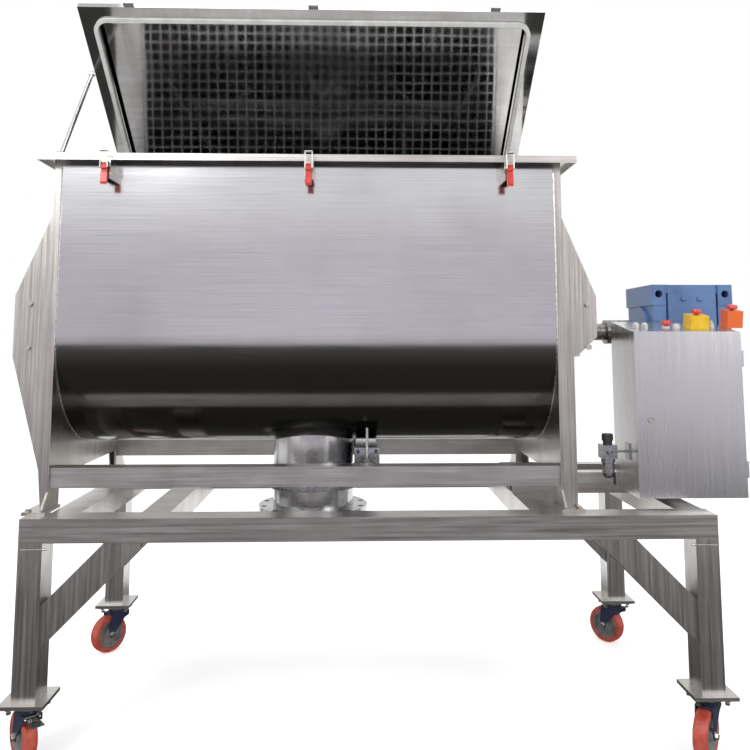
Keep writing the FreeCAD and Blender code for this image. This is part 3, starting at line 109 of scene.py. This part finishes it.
def addBump(tree, shader, height, distance, strength=1.0):
    bump = tree.nodes.new("ShaderNodeBump")
    bump.inputs["Strength"].default_value = strength
    bump.inputs["Distance"].default_value = distance
    tree.links.new(height, bump.inputs["Height"])
    tree.links.new(bump.outputs["Normal"], shader.inputs["Normal"])


def brushedSteel(name, settings):
    # grain lines are noise stretched along the brushing, over a slow waviness of the sheet
    material, tree, shader, stretched, plain = startMaterial(name, settings["grain"])
    grain = cloud(tree, stretched, 1.0, 6.0)
    smear = cloud(tree, plain, settings["smearScale"], 5.0)
    tint = blendColours(tree, spread(tree, grain, 0, 1), settings["dark"], settings["light"])
    tint = blendColours(tree, spread(tree, smear, 0, 0.5, 0.4, 0.75), tint, settings["stain"])
    tree.links.new(tint, shader.inputs["Base Color"])
    rough = calculate(tree, "ADD", spread(tree, grain, *settings["rough"]), spread(tree, smear, 0, 0.06))
    tree.links.new(rough, shader.inputs["Roughness"])
    shader.inputs["Metallic"].default_value = 1.0
    shader.inputs["Anisotropic"].default_value = settings.get("anisotropy", 0.0)
    wave = cloud(tree, plain, settings["waveScale"], 1.0)
    height = calculate(tree, "ADD", calculate(tree, "MULTIPLY", grain, settings["grainHeight"]), wave)
    addBump(tree, shader, height, settings["waveHeight"])
    return material


def troughSteel(name, settings):
    # painted shade: the inside of the trough's U, at radius sqrt(y^2 + min(z - shaft, 0)^2), gets a dark colour;
    # painted reflection: the outside turns dark below a band of heights, standing in for the dark floor that the
    # polished steel reflects
    material = brushedSteel(name, settings)
    tree = material.node_tree
    shader = tree.nodes["Principled BSDF"]
    split = tree.nodes.new("ShaderNodeSeparateXYZ")
    coords = next(node for node in tree.nodes if node.type == "TEX_COORD")
    tree.links.new(coords.outputs["Object"], split.inputs["Vector"])
    above = calculate(tree, "SUBTRACT", split.outputs["Z"], settings["shaftZ"])
    drop = calculate(tree, "MINIMUM", above, 0.0)
    squares = calculate(
        tree, "ADD", calculate(tree, "POWER", split.outputs["Y"], 2.0), calculate(tree, "MULTIPLY", drop, drop)
    )
    radius = calculate(tree, "SQRT", squares)
    # painted shade: points inside the U get a dark colour in place of the steel tint
    outside = calculate(tree, "GREATER_THAN", radius, settings["midWall"])
    tint = shader.inputs["Base Color"].links[0].from_socket
    # painted reflection: below this band of heights the outside gets a dark colour that stands in for a dark floor
    # reflected in the polished steel
    low = spread(tree, split.outputs["Z"], 0, 1, settings["reflectionBandLow"], settings["reflectionBandHigh"])
    outer = blendColours(tree, low, settings["underside"], tint)
    tree.links.new(blendColours(tree, outside, settings["paintedInsideShade"], outer), shader.inputs["Base Color"])
    return material


def enamel(name, settings):
    material, tree, shader, _, plain = startMaterial(name)
    patch = cloud(tree, plain, settings["patchScale"], 6.0)
    tint = blendColours(tree, spread(tree, patch, 0, 1), settings["dark"], settings["light"])
    tree.links.new(tint, shader.inputs["Base Color"])
    tree.links.new(spread(tree, patch, *settings["rough"]), shader.inputs["Roughness"])
    shader.inputs["Metallic"].default_value = settings.get("metal", 0.0)
    shader.inputs["Coat Weight"].default_value = settings.get("coat", 0.0)
    addBump(tree, shader, cloud(tree, plain, settings["peelScale"], 2.0), settings["peelHeight"])
    return material


def clearPlastic(name, settings):
    material, tree, shader, _, plain = startMaterial(name)
    haze = cloud(tree, plain, settings["hazeScale"], 3.0)
    tint = blendColours(tree, spread(tree, haze, 0, 1), settings["dark"], settings["light"])
    tree.links.new(tint, shader.inputs["Base Color"])
    tree.links.new(spread(tree, haze, 0.05, 0.14), shader.inputs["Roughness"])
    shader.inputs["Transmission Weight"].default_value = settings["clear"]
    shader.inputs["IOR"].default_value = 1.49
    return material


def housingFinish(name, settings):
    # pale collars, a yellow box and an orange side box, told apart by their place along X
    material = enamel(name, settings)
    tree = material.node_tree
    shader = tree.nodes["Principled BSDF"]
    split = tree.nodes.new("ShaderNodeSeparateXYZ")
    coords = next(node for node in tree.nodes if node.type == "TEX_COORD")
    tree.links.new(coords.outputs["Object"], split.inputs["Vector"])
    boxed = shader.inputs["Base Color"].links[0].from_socket
    inBox = calculate(tree, "COMPARE", split.outputs["X"], settings["boxX"])
    inBox.node.inputs[2].default_value = settings["halfBox"]
    tint = blendColours(tree, inBox, settings["collar"], boxed)
    side = calculate(tree, "GREATER_THAN", split.outputs["X"], settings["sideX"])
    tree.links.new(blendColours(tree, side, tint, settings["side"]), shader.inputs["Base Color"])
    return material


sheet = {
    "grain": (2.5, 260, 260), "smearScale": 3.0, "dark": (0.52, 0.52, 0.54), "light": (0.7, 0.69, 0.71),
    "stain": (0.45, 0.43, 0.43), "rough": (0.14, 0.24), "waveScale": 1.6, "waveHeight": 0.004,
    "grainHeight": 0.006,
}
tube = {**sheet, "grain": (3, 120, 120), "dark": (0.5, 0.48, 0.46), "light": (0.7, 0.69, 0.67),
        "stain": (0.36, 0.33, 0.3), "rough": (0.24, 0.36), "waveScale": 5.0, "smearScale": 7.0,
        "waveHeight": 0.002}
leg = {**tube, "grain": (120, 120, 3)}
plate = {**tube, "grain": (160, 160, 3), "dark": (0.42, 0.4, 0.37), "light": (0.62, 0.6, 0.57)}
mirror = {**sheet, "grain": (40, 3, 3), "dark": (0.42, 0.42, 0.43), "light": (0.5, 0.5, 0.51),
          "stain": (0.36, 0.36, 0.37),
          "rough": (0.04, 0.07), "waveScale": 2.2, "waveHeight": 0.003, "grainHeight": 0.001}
cabinet = {**sheet, "grain": (300, 300, 2.5), "dark": (0.58, 0.58, 0.59), "light": (0.68, 0.68, 0.69),
           "smearScale": 2.0, "grainHeight": 0.003, "rough": (0.2, 0.26)}
small = {**tube, "grain": (90, 90, 90), "rough": (0.2, 0.3), "waveHeight": 0.0005}
shaftZ = joints["rotor_spin"]["pos_m"][2]
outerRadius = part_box("trough_shell")[1][1]
# the inside colour is painted shade; the underside colour, faded in below its band of heights, is a painted
# reflection of a dark floor
trough = {**sheet, "shaftZ": shaftZ, "midWall": outerRadius - 0.002, "paintedInsideShade": (0.16, 0.15, 0.15),
          "underside": (0.17, 0.165, 0.145), "reflectionBandLow": 1.3, "reflectionBandHigh": 1.42, "rough": (0.1, 0.15),
          "dark": (0.56, 0.56, 0.58), "light": (0.66, 0.65, 0.67),
          "grainHeight": 0.003}

steelSheet = brushedSteel("brushedSheet", sheet)
steelTube = brushedSteel("brushedTube", tube)
steelLeg = brushedSteel("brushedLeg", leg)
steelPlate = brushedSteel("brushedPlate", plate)
steelMirror = brushedSteel("polishedLid", mirror)
steelCabinet = brushedSteel("brushedCabinet", cabinet)
steelSmall = brushedSteel("turnedSteel", small)
steelTrough = troughSteel("polishedTrough", trough)
steelDull = brushedSteel("dullSteel", {**small, "dark": (0.14, 0.14, 0.14), "light": (0.3, 0.29, 0.28)})
zinc = brushedSteel("zincPlate", {**small, "dark": (0.5, 0.49, 0.44), "light": (0.75, 0.74, 0.7)})
valveMetal = brushedSteel("valveAlloy", {**small, "dark": (0.3, 0.31, 0.34), "light": (0.5, 0.51, 0.54)})
navyPaint = enamel("navyEnamel", {"patchScale": 18, "dark": (0.016, 0.02, 0.05), "light": (0.035, 0.045, 0.1),
                                  "rough": (0.25, 0.45), "peelScale": 300, "peelHeight": 0.0002, "coat": 0.4})
bluePaint = enamel("gearEnamel", {"patchScale": 9, "dark": (0.045, 0.11, 0.27), "light": (0.1, 0.2, 0.42),
                                  "rough": (0.35, 0.5), "peelScale": 120, "peelHeight": 0.0006, "coat": 0.2})
redPlastic = enamel("gripRed", {"patchScale": 40, "dark": (0.5, 0.025, 0.02), "light": (0.7, 0.06, 0.045),
                                "rough": (0.25, 0.4), "peelScale": 400, "peelHeight": 0.0001, "coat": 0.3})
stopBox = joints["emergency_stop_press"]["pos_m"][0]
yellowPlastic = housingFinish("housingYellow", {
    "boxX": stopBox, "halfBox": 0.037, "sideX": stopBox + 0.1, "collar": (0.6, 0.58, 0.53),
    "side": (0.75, 0.14, 0.03),
    "patchScale": 40, "dark": (0.7, 0.42, 0.01), "light": (0.85, 0.55, 0.03),
                                         "rough": (0.3, 0.45), "peelScale": 400, "peelHeight": 0.0001})
treadRed = enamel("treadRed", {"patchScale": 30, "dark": (0.42, 0.05, 0.03), "light": (0.62, 0.12, 0.08),
                               "rough": (0.35, 0.55), "peelScale": 200, "peelHeight": 0.0004})
coreGrey = enamel("coreGrey", {"patchScale": 30, "dark": (0.12, 0.12, 0.12), "light": (0.26, 0.25, 0.24),
                               "rough": (0.45, 0.6), "peelScale": 200, "peelHeight": 0.0004})
castBlack = enamel("castBlack", {"patchScale": 25, "dark": (0.012, 0.012, 0.013), "light": (0.04, 0.04, 0.04),
                                 "rough": (0.35, 0.55), "peelScale": 160, "peelHeight": 0.0005})
gasketWhite = enamel("gasketWhite", {"patchScale": 15, "dark": (0.55, 0.55, 0.53),
                                     "light": (0.75, 0.75, 0.73),
                                     "rough": (0.5, 0.65), "peelScale": 200, "peelHeight": 0.0002})
whitePlastic = enamel("buttonWhite", {"patchScale": 30, "dark": (0.62, 0.62, 0.6),
                                      "light": (0.78, 0.78, 0.76),
                                      "rough": (0.25, 0.4), "peelScale": 300, "peelHeight": 0.0001})
lampClear = clearPlastic("lampClear", {"hazeScale": 60, "dark": (0.75, 0.76, 0.74),
                                       "light": (0.92, 0.93, 0.9), "clear": 0.6})

finishBySlot = {
    "steel": steelSheet, "zinc": zinc, "navy_paint": navyPaint, "tread_red": treadRed, "grip_red": redPlastic,
    "blue_paint": bluePaint, "cast_black": castBlack, "gasket_white": gasketWhite, "lamp_clear": lampClear,
    "control_yellow": yellowPlastic, "button_white": whitePlastic, "valve_metal": valveMetal,
    "knob_black": castBlack,
}
finishByNode = {
    "trough_shell": steelTrough, "lid_shell": steelMirror, "stand_frame": steelTube, "stand_legs": steelLeg,
    "base_crossbars": steelTube, "foot_plates": steelTube, "drive_pedestal": steelTube,
    "trough_end_plates": steelPlate,
    "end_housing_left": steelPlate, "end_housing_right": steelPlate, "control_box": steelCabinet,
    "box_door": steelCabinet, "safety_grid": steelSmall, "main_shaft": steelDull, "outer_ribbons": steelDull,
    "inner_ribbons": steelDull, "ribbon_spokes": steelDull, "lid_stay": steelSmall, "fasteners": steelSmall,
    "latch_bases": zinc, "latch_loop_left": zinc, "latch_loop_middle": zinc, "latch_loop_right": zinc,
    "valve_disc": steelSmall, "discharge_spout": steelSheet, "rim_flange": steelTube,
}
slotOf = {entry["node"]: entry["material_slot"] for entry in frame["record"]["subparts"]}
for name, item in nodes.items():
    item.data.materials.clear()
    item.data.materials.append(finishByNode.get(name, finishBySlot[slotOf[name]]))
print("materials set on the CAD nodes")


def makePiece(name, points, faces, material, body, slot, replaced=()):
    mesh = bpy.data.meshes.new(name)
    mesh.from_pydata(points.reshape(-1, 3).tolist(), [], faces.tolist())
    work = bmesh.new()
    work.from_mesh(mesh)
    bmesh.ops.remove_doubles(work, verts=work.verts, dist=1e-6)
    bmesh.ops.dissolve_degenerate(work, edges=work.edges, dist=1e-7)
    bmesh.ops.recalc_face_normals(work, faces=work.faces)
    work.to_mesh(mesh)
    work.free()
    mesh.polygons.foreach_set("use_smooth", np.ones(len(mesh.polygons), bool))
    mesh.set_sharp_from_angle(angle=math.radians(32))
    mesh.materials.append(material)
    piece = bpy.data.objects.new(name, mesh)
    bpy.context.scene.collection.objects.link(piece)
    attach(piece, body)
    if replaced:
        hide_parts(*replaced)
    return piece


def crossAxes(axis):
    axis = np.array(axis, float) / np.linalg.norm(axis)
    helper = np.array([0, 0, 1.0]) if abs(axis[2]) < 0.9 else np.array([1.0, 0, 0])
    first = np.cross(axis, helper)
    first /= np.linalg.norm(first)
    return axis, first, np.cross(axis, first)


def latheGrid(profile, origin, axis, around=48, start=0.0):
    # point(i, t) = origin + axis * height_i + radius_i * (cos t * first + sin t * second)
    axis, first, second = crossAxes(axis)
    rows = np.array(profile, float) * mm
    turn = start + np.linspace(0, 2 * math.pi, around, endpoint=False)
    ring = np.cos(turn)[:, None] * first + np.sin(turn)[:, None] * second
    points = np.array(origin) + rows[:, 1, None, None] * axis + rows[:, 0, None, None] * ring[None]
    row, column = np.meshgrid(np.arange(len(rows) - 1), np.arange(around), indexing="ij")
    beside = (column + 1) % around
    faces = np.stack([row * around + column, row * around + beside,
                      (row + 1) * around + beside, (row + 1) * around + column], -1).reshape(-1, 4)
    return points.reshape(-1, 3), faces


def joinGrids(grids):
    points, faces, offset = [], [], 0
    for some, shape in grids:
        points.append(some)
        faces.append(shape + offset)
        offset += len(some)
    return np.concatenate(points), np.concatenate(faces)


def turnedPiece(name, profile, origin, axis, material, body, slot, replaced=(), around=48):
    points, faces = latheGrid(profile, origin, axis, around)
    return makePiece(name, points, faces, material, body, slot, replaced)


def roundedProfile(points, radius, steps=5):
    # each inner corner becomes a quadratic curve from one side to the other
    points = np.array(points, float)
    out = [points[0]]
    for before, corner, after in zip(points[:-2], points[1:-1], points[2:]):
        reach = min(radius, np.linalg.norm(corner - before) * 0.45, np.linalg.norm(after - corner) * 0.45)
        enter = corner + (before - corner) / np.linalg.norm(before - corner) * reach
        leave = corner + (after - corner) / np.linalg.norm(after - corner) * reach
        t = np.linspace(0, 1, steps)[:, None]
        out.extend((1 - t) ** 2 * enter + 2 * t * (1 - t) * corner + t ** 2 * leave)
    out.append(points[-1])
    return out


# castor wheels: a red tyre with a crowned tread on a ribbed grey core
wheel = {"radius": 79.4, "treadDepth": 20, "halfTread": 23, "halfHub": 26.5, "hub": 18, "bore": 6.2,
         "web": 12}
for corner in ("front_left", "front_right", "rear_left", "rear_right"):
    joint = joints["roll_" + corner]
    place, axis, body = joint["pos_m"], joint["axis"], "wheel_" + corner
    inner = wheel["radius"] - wheel["treadDepth"]
    half = wheel["halfTread"]
    tyre = roundedProfile(
        [(inner, -half + 2), (inner + 2, -half), (wheel["radius"] - 3, -half), (wheel["radius"], -half + 9),
         (wheel["radius"], half - 9), (wheel["radius"] - 3, half), (inner + 2, half), (inner, half - 2)], 5)
    tyre.append(tyre[0])
    turnedPiece("tyre_" + corner, tyre, place, axis, treadRed, body, "tread_red", (), 72)
    core = roundedProfile(
        [(wheel["bore"], -wheel["halfHub"]), (wheel["hub"], -wheel["halfHub"]),
         (wheel["hub"] + 3, -wheel["web"]), (inner - 14, -wheel["web"]), (inner - 8, -half + 1),
         (inner - 0.3, -half + 1), (inner - 0.3, half - 1),
         (inner - 8, half - 1), (inner - 14, wheel["web"]), (wheel["hub"] + 3, wheel["web"]),
         (wheel["hub"], wheel["halfHub"]), (wheel["bore"], wheel["halfHub"])], 3)
    core.append(core[0])
    turnedPiece("core_" + corner, core, place, axis, coreGrey, body, "tread_red",
                ("caster_wheel_" + corner,), 72)
print("castor wheels made")


def headGrid(place, axis, radius, height, turn=0.0):
    # a hexagon head with a chamfered top, its foot sunk a hair into its seat
    shoulder = (radius, height * 0.85)
    return latheGrid([(0, -0.2), (radius, -0.2), shoulder, (radius * 0.86, height), (0, height)],
                     place, axis, 6, turn)


def roundHeadGrid(place, axis, radius, height):
    t = np.linspace(0, math.pi / 2, 6)
    dome = [(radius * math.cos(a), height * 0.35 + height * 0.65 * math.sin(a)) for a in t]
    return latheGrid([(0, -0.2), (radius, -0.2), *dome], place, axis, 20)


# nuts and washers on the castor axles, and the bolts that hold each castor to its foot plate
axleNut = {"radius": 11, "height": 9, "out": 31.0, "washer": 13, "washerThick": 1.5}
for corner in ("front_left", "front_right", "rear_left", "rear_right"):
    joint = joints["roll_" + corner]
    place, axis = np.array(joint["pos_m"]), np.array(joint["axis"])
    grids = []
    for side in (1, -1):
        seat = place + axis * side * axleNut["out"] * mm
        disc, thick = axleNut["washer"], axleNut["washerThick"]
        grids.append(latheGrid([(0, -0.2), (disc, -0.2), (disc, thick), (0, thick)], seat, axis * side, 24))
        nutSeat = seat + axis * side * (thick - 0.1) * mm
        grids.append(headGrid(nutSeat, axis * side, axleNut["radius"], axleNut["height"]))
    makePiece("axle_nuts_" + corner, *joinGrids(grids), zinc, "fork_" + corner, "zinc")

plateBolts = {"inX": 50, "inY": 38, "radius": 8, "height": 7}
grids = []
for corner in ("front_left", "front_right", "rear_left", "rear_right"):
    middle = np.array(joints["swivel_" + corner]["pos_m"])
    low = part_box("caster_plates")[0][2]
    for x in (-1, 1):
        for y in (-1, 1):
            place = (middle[0] + x * plateBolts["inX"] * mm, middle[1] + y * plateBolts["inY"] * mm, low)
            grids.append(headGrid(place, (0, 0, -1), plateBolts["radius"], plateBolts["height"]))
makePiece("castor_bolts", *joinGrids(grids), zinc, "machine", "zinc")
print("castor hardware made")


# push buttons: each head is turned about its own press axis, which is the panel's normal
buttons = {
    "stop_mushroom": {"joint": "stop_mushroom_press", "finish": redPlastic},
    "emergency_stop": {"joint": "emergency_stop_press", "finish": redPlastic},
    "side_stop": {"joint": "side_stop_press", "finish": redPlastic},
}
for name, button in buttons.items():
    joint = joints[button["joint"]]
    axis = np.array(joint["axis"])
    points = np.array([vertex.co for vertex in nodes[name].data.vertices])
    along = (points - np.array(joint["pos_m"])) @ axis / mm
    reach = np.linalg.norm(np.cross(points - np.array(joint["pos_m"]), axis), axis=1) / mm
    foot, top, lip, across = along.min(), along.max(), along[reach > 0.85 * reach.max()].min(), reach.max()
    profile = [(0, foot), (6.8, foot), (6.8, lip), (across - 2, lip), (across, lip + 2),
               (across, lip + (top - lip) * 0.45), (across * 0.86, top - 1.5), (across * 0.4, top), (0, top)]
    turnedPiece(name + "_cap", roundedProfile(profile, 1.5, 6), joint["pos_m"], axis, button["finish"],
                joint["child"], slotOf[name], (name,), 40)
print("button heads made")


# weld beads: a row of overlapping ripples carried along each seam
weld = {"radius": 3.2, "ripple": 0.5, "pitch": 7.0}


def weldGrid(start, end, around=8):
    # a thin tube whose radius swells and shrinks with the ripples, closed to a point at both ends
    start, end = np.array(start, float), np.array(end, float)
    length = np.linalg.norm(end - start)
    count = max(8, int(length / mm / weld["pitch"] * 3))
    along = np.linspace(0, length / mm, count)
    radius = weld["radius"] + weld["ripple"] * np.sin(along / weld["pitch"] * 2 * math.pi)
    radius[0] = radius[-1] = 0
    return latheGrid(np.stack([radius, along], 1), start, end - start, around)


standLow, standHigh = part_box("stand_frame")
troughLow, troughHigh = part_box("trough_shell")
seams = []
for y in (standLow[1] + 0.003, standHigh[1] - 0.003):
    for x, width in ((standLow[0], 0.1), (standHigh[0] - 0.1, 0.1)):
        seams.append(((x + 0.004, y, standHigh[2] - 0.1), (x + width - 0.004, y, standHigh[2] - 0.1)))
makePiece("stand_welds", *joinGrids([weldGrid(*seam) for seam in seams]), steelSmall, "machine", "steel")


# seam between the trough's shell and each end plate: a bead along the U of the shell's outside
def troughSeam(x, reach, shaftZ, around=8):
    # the path runs down one side, round the half circle and up the other
    # and each point of the bead lies on a small ring about the path
    straight = np.linspace(troughHigh[2] - 0.03, shaftZ, 40)
    turn = np.linspace(0, -math.pi, 160)[1:-1]
    path = np.concatenate([
        np.stack([np.full(40, x), np.full(40, reach), straight], 1),
        np.stack([np.full(158, x), reach * np.cos(turn), shaftZ + reach * np.sin(turn)], 1),
        np.stack([np.full(40, x), np.full(40, -reach), straight[::-1]], 1),
    ])
    outward = np.stack([np.zeros(len(path)), path[:, 1], np.minimum(path[:, 2] - shaftZ, 0)], 1)
    outward /= np.linalg.norm(outward, axis=1)[:, None]
    wave = np.arange(len(path)) * 2.2
    radius = (weld["radius"] + weld["ripple"] * np.sin(wave)) * mm
    radius[0] = radius[-1] = 1e-7
    ring = np.linspace(0, 2 * math.pi, around, endpoint=False)
    points = (path[:, None] + radius[:, None, None] * (
        np.cos(ring)[None, :, None] * outward[:, None] + np.sin(ring)[None, :, None] * np.array([1.0, 0, 0])))
    row, column = np.meshgrid(np.arange(len(path) - 1), np.arange(around), indexing="ij")
    beside = (column + 1) % around
    faces = np.stack([row * around + column, row * around + beside,
                      (row + 1) * around + beside, (row + 1) * around + column], -1).reshape(-1, 4)
    return points.reshape(-1, 3), faces


innerEnds = (troughLow[0] + 0.001, troughHigh[0] - 0.001)
makePiece("trough_welds", *joinGrids([troughSeam(x, outerRadius, shaftZ) for x in innerEnds]),
          steelSmall, "machine", "steel")
print("welds made")


# valve actuator: four cap bolts and a round boss on its front cover
cover = {"x": -0.115, "z": 0.945, "spread": 0.034, "bolt": 6, "boltHigh": 5, "boss": 16, "bossHigh": 7}
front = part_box("valve_actuator")[0][1]
grids = [roundHeadGrid((cover["x"] + x * cover["spread"], front + 0.0002, cover["z"] + z * cover["spread"]),
                       (0, -1, 0), cover["bolt"], cover["boltHigh"]) for x in (-1, 1) for z in (-1, 1)]
grids.append(latheGrid([(0, -0.2), (cover["boss"], -0.2), (cover["boss"], cover["bossHigh"] - 2),
                        (cover["boss"] - 2, cover["bossHigh"]), (5, cover["bossHigh"]),
                        (4, cover["bossHigh"] - 2), (0, cover["bossHigh"] - 2)], (cover["x"], front, cover["z"]), (0, -1, 0), 36))
makePiece("actuator_bolts", *joinGrids(grids), castBlack, "machine", "valve_metal")

# two cast bolt heads near the top of the gear unit's front panel, at a third and two thirds of its width
gearLow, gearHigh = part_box("gearbox")
gear = {"panelIn": 0.067, "panelSunk": 0.002, "down": 0.059, "radius": 11, "height": 7}
panelWide = gearHigh[0] - gearLow[0] - 2 * gear["panelIn"]
grids = [roundHeadGrid((gearHigh[0] - gear["panelIn"] - panelWide * share,
                        -gearHigh[1] + gear["panelSunk"], gearHigh[2] - gear["down"]),
                       (0, -1, 0), gear["radius"], gear["height"]) for share in (1 / 3, 2 / 3)]
makePiece("gear_panel_bolts", *joinGrids(grids), bluePaint, "machine", "blue_paint")

# a red ring round the foot of the air unit's knob
air = {"x": 0.79, "y": -0.3, "ringUp": 0.014}
ring = [(15, 0), (19, 0), (19, 5), (15, 5), (15, 0)]
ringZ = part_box("air_knob")[0][2] + air["ringUp"]
turnedPiece("knob_ring", ring, (air["x"], air["y"], ringZ), (0, 0, 1), redPlastic, "regulator", "grip_red")
print("valve and air details made")


# studio: pale floor, soft lamps, dark and pale boards that only reflections see

def raysFor(tree):
    path = tree.nodes.new("ShaderNodeLightPath")
    some = calculate(tree, "MAXIMUM", path.outputs["Is Camera Ray"], path.outputs["Is Glossy Ray"])
    return calculate(tree, "MAXIMUM", some, path.outputs["Is Transmission Ray"])


world = bpy.data.worlds.new("studio")
bpy.context.scene.world = world
world.use_nodes = True
background = world.node_tree.nodes["Background"]
background.inputs["Color"].default_value = (1, 1, 1, 1)
seen = raysFor(world.node_tree)
world.node_tree.links.new(spread(world.node_tree, seen, 0.55, 1.0, 0, 1), background.inputs["Strength"])


def board(name, corners, colour, glow, hidden):
    mesh = bpy.data.meshes.new(name)
    mesh.from_pydata(corners, [], [(0, 1, 2, 3)])
    material = bpy.data.materials.new(name)
    material.use_nodes = True
    tree = material.node_tree
    shader = tree.nodes["Principled BSDF"]
    shader.inputs["Base Color"].default_value = (*colour, 1)
    shader.inputs["Roughness"].default_value = 0.9
    shader.inputs["Emission Color"].default_value = (*colour, 1)
    seenHere = raysFor(tree)
    tree.links.new(spread(tree, seenHere, 0.0, glow, 0, 1), shader.inputs["Emission Strength"])
    mesh.materials.append(material)
    item = bpy.data.objects.new(name, mesh)
    bpy.context.scene.collection.objects.link(item)
    if hidden:
        item.visible_camera = False
        item.visible_diffuse = False
        item.visible_shadow = False
    return item


board("floor", [(-60, -60, 0), (60, -60, 0), (60, 60, 0), (-60, 60, 0)], (0.95, 0.95, 0.95), 0.55, False)
board("darkCloth", [(-4.5, -6.0, 0.01), (4.5, -6.0, 0.01), (4.5, 1.4, 0.01), (-4.5, 1.4, 0.01)],
      (0.035, 0.034, 0.03), 0.4, True)
board("greyBoard", [(-5, -6.2, 0.0), (5, -6.2, 0.0), (5, -6.2, 2.7), (-5, -6.2, 2.7)],
      (0.42, 0.4, 0.44), 0.9, True)
board("ceilingBoard", [(-5, -6.2, 4.6), (5, -6.2, 4.6), (5, -2.0, 5.2), (-5, -2.0, 5.2)],
      (0.42, 0.42, 0.45), 0.8, True)


def softLamp(name, place, target, size, power):
    lamp = bpy.data.lights.new(name, "AREA")
    lamp.shape = "RECTANGLE"
    lamp.size, lamp.size_y = size
    lamp.energy = power
    item = bpy.data.objects.new(name, lamp)
    item.location = place
    item.rotation_mode = "QUATERNION"
    item.rotation_quaternion = (Vector(target) - Vector(place)).to_track_quat("-Z", "Y")
    bpy.context.scene.collection.objects.link(item)
    return item


softLamp("keyLamp", (-2.6, -4.2, 4.2), (-0.2, 0, 1.3), (2.5, 2.0), 130)
softLamp("fillLamp", (3.6, -3.6, 3.0), (0.2, 0, 1.2), (2.0, 2.0), 70)
softLamp("topLamp", (0, 0.5, 5.0), (0, 0, 1.0), (3.5, 2.5), 80)

# camera: the lens and the shift give the upright frame, seen from in front and a little below the rim
view = {"place": (-0.1674, -3.2129, 1.3924), "yaw": 1.6, "pitch": 6.0, "lens": 36.74, "shift": -0.151}
camera = bpy.data.cameras.new("camera")
camera.lens = view["lens"]
camera.sensor_width = 36
camera.shift_y = view["shift"]
camera.clip_start, camera.clip_end = 0.05, 200
cameraItem = bpy.data.objects.new("camera", camera)
yaw, pitch = math.radians(view["yaw"]), math.radians(view["pitch"])
forward = Vector((math.sin(yaw) * math.cos(pitch), math.cos(yaw) * math.cos(pitch), math.sin(pitch)))
cameraItem.location = view["place"]
cameraItem.rotation_mode = "QUATERNION"
cameraItem.rotation_quaternion = forward.to_track_quat("-Z", "Y")
bpy.context.scene.collection.objects.link(cameraItem)
bpy.context.scene.camera = cameraItem
bpy.context.scene.view_settings.view_transform = "Standard"
print("studio and camera set")
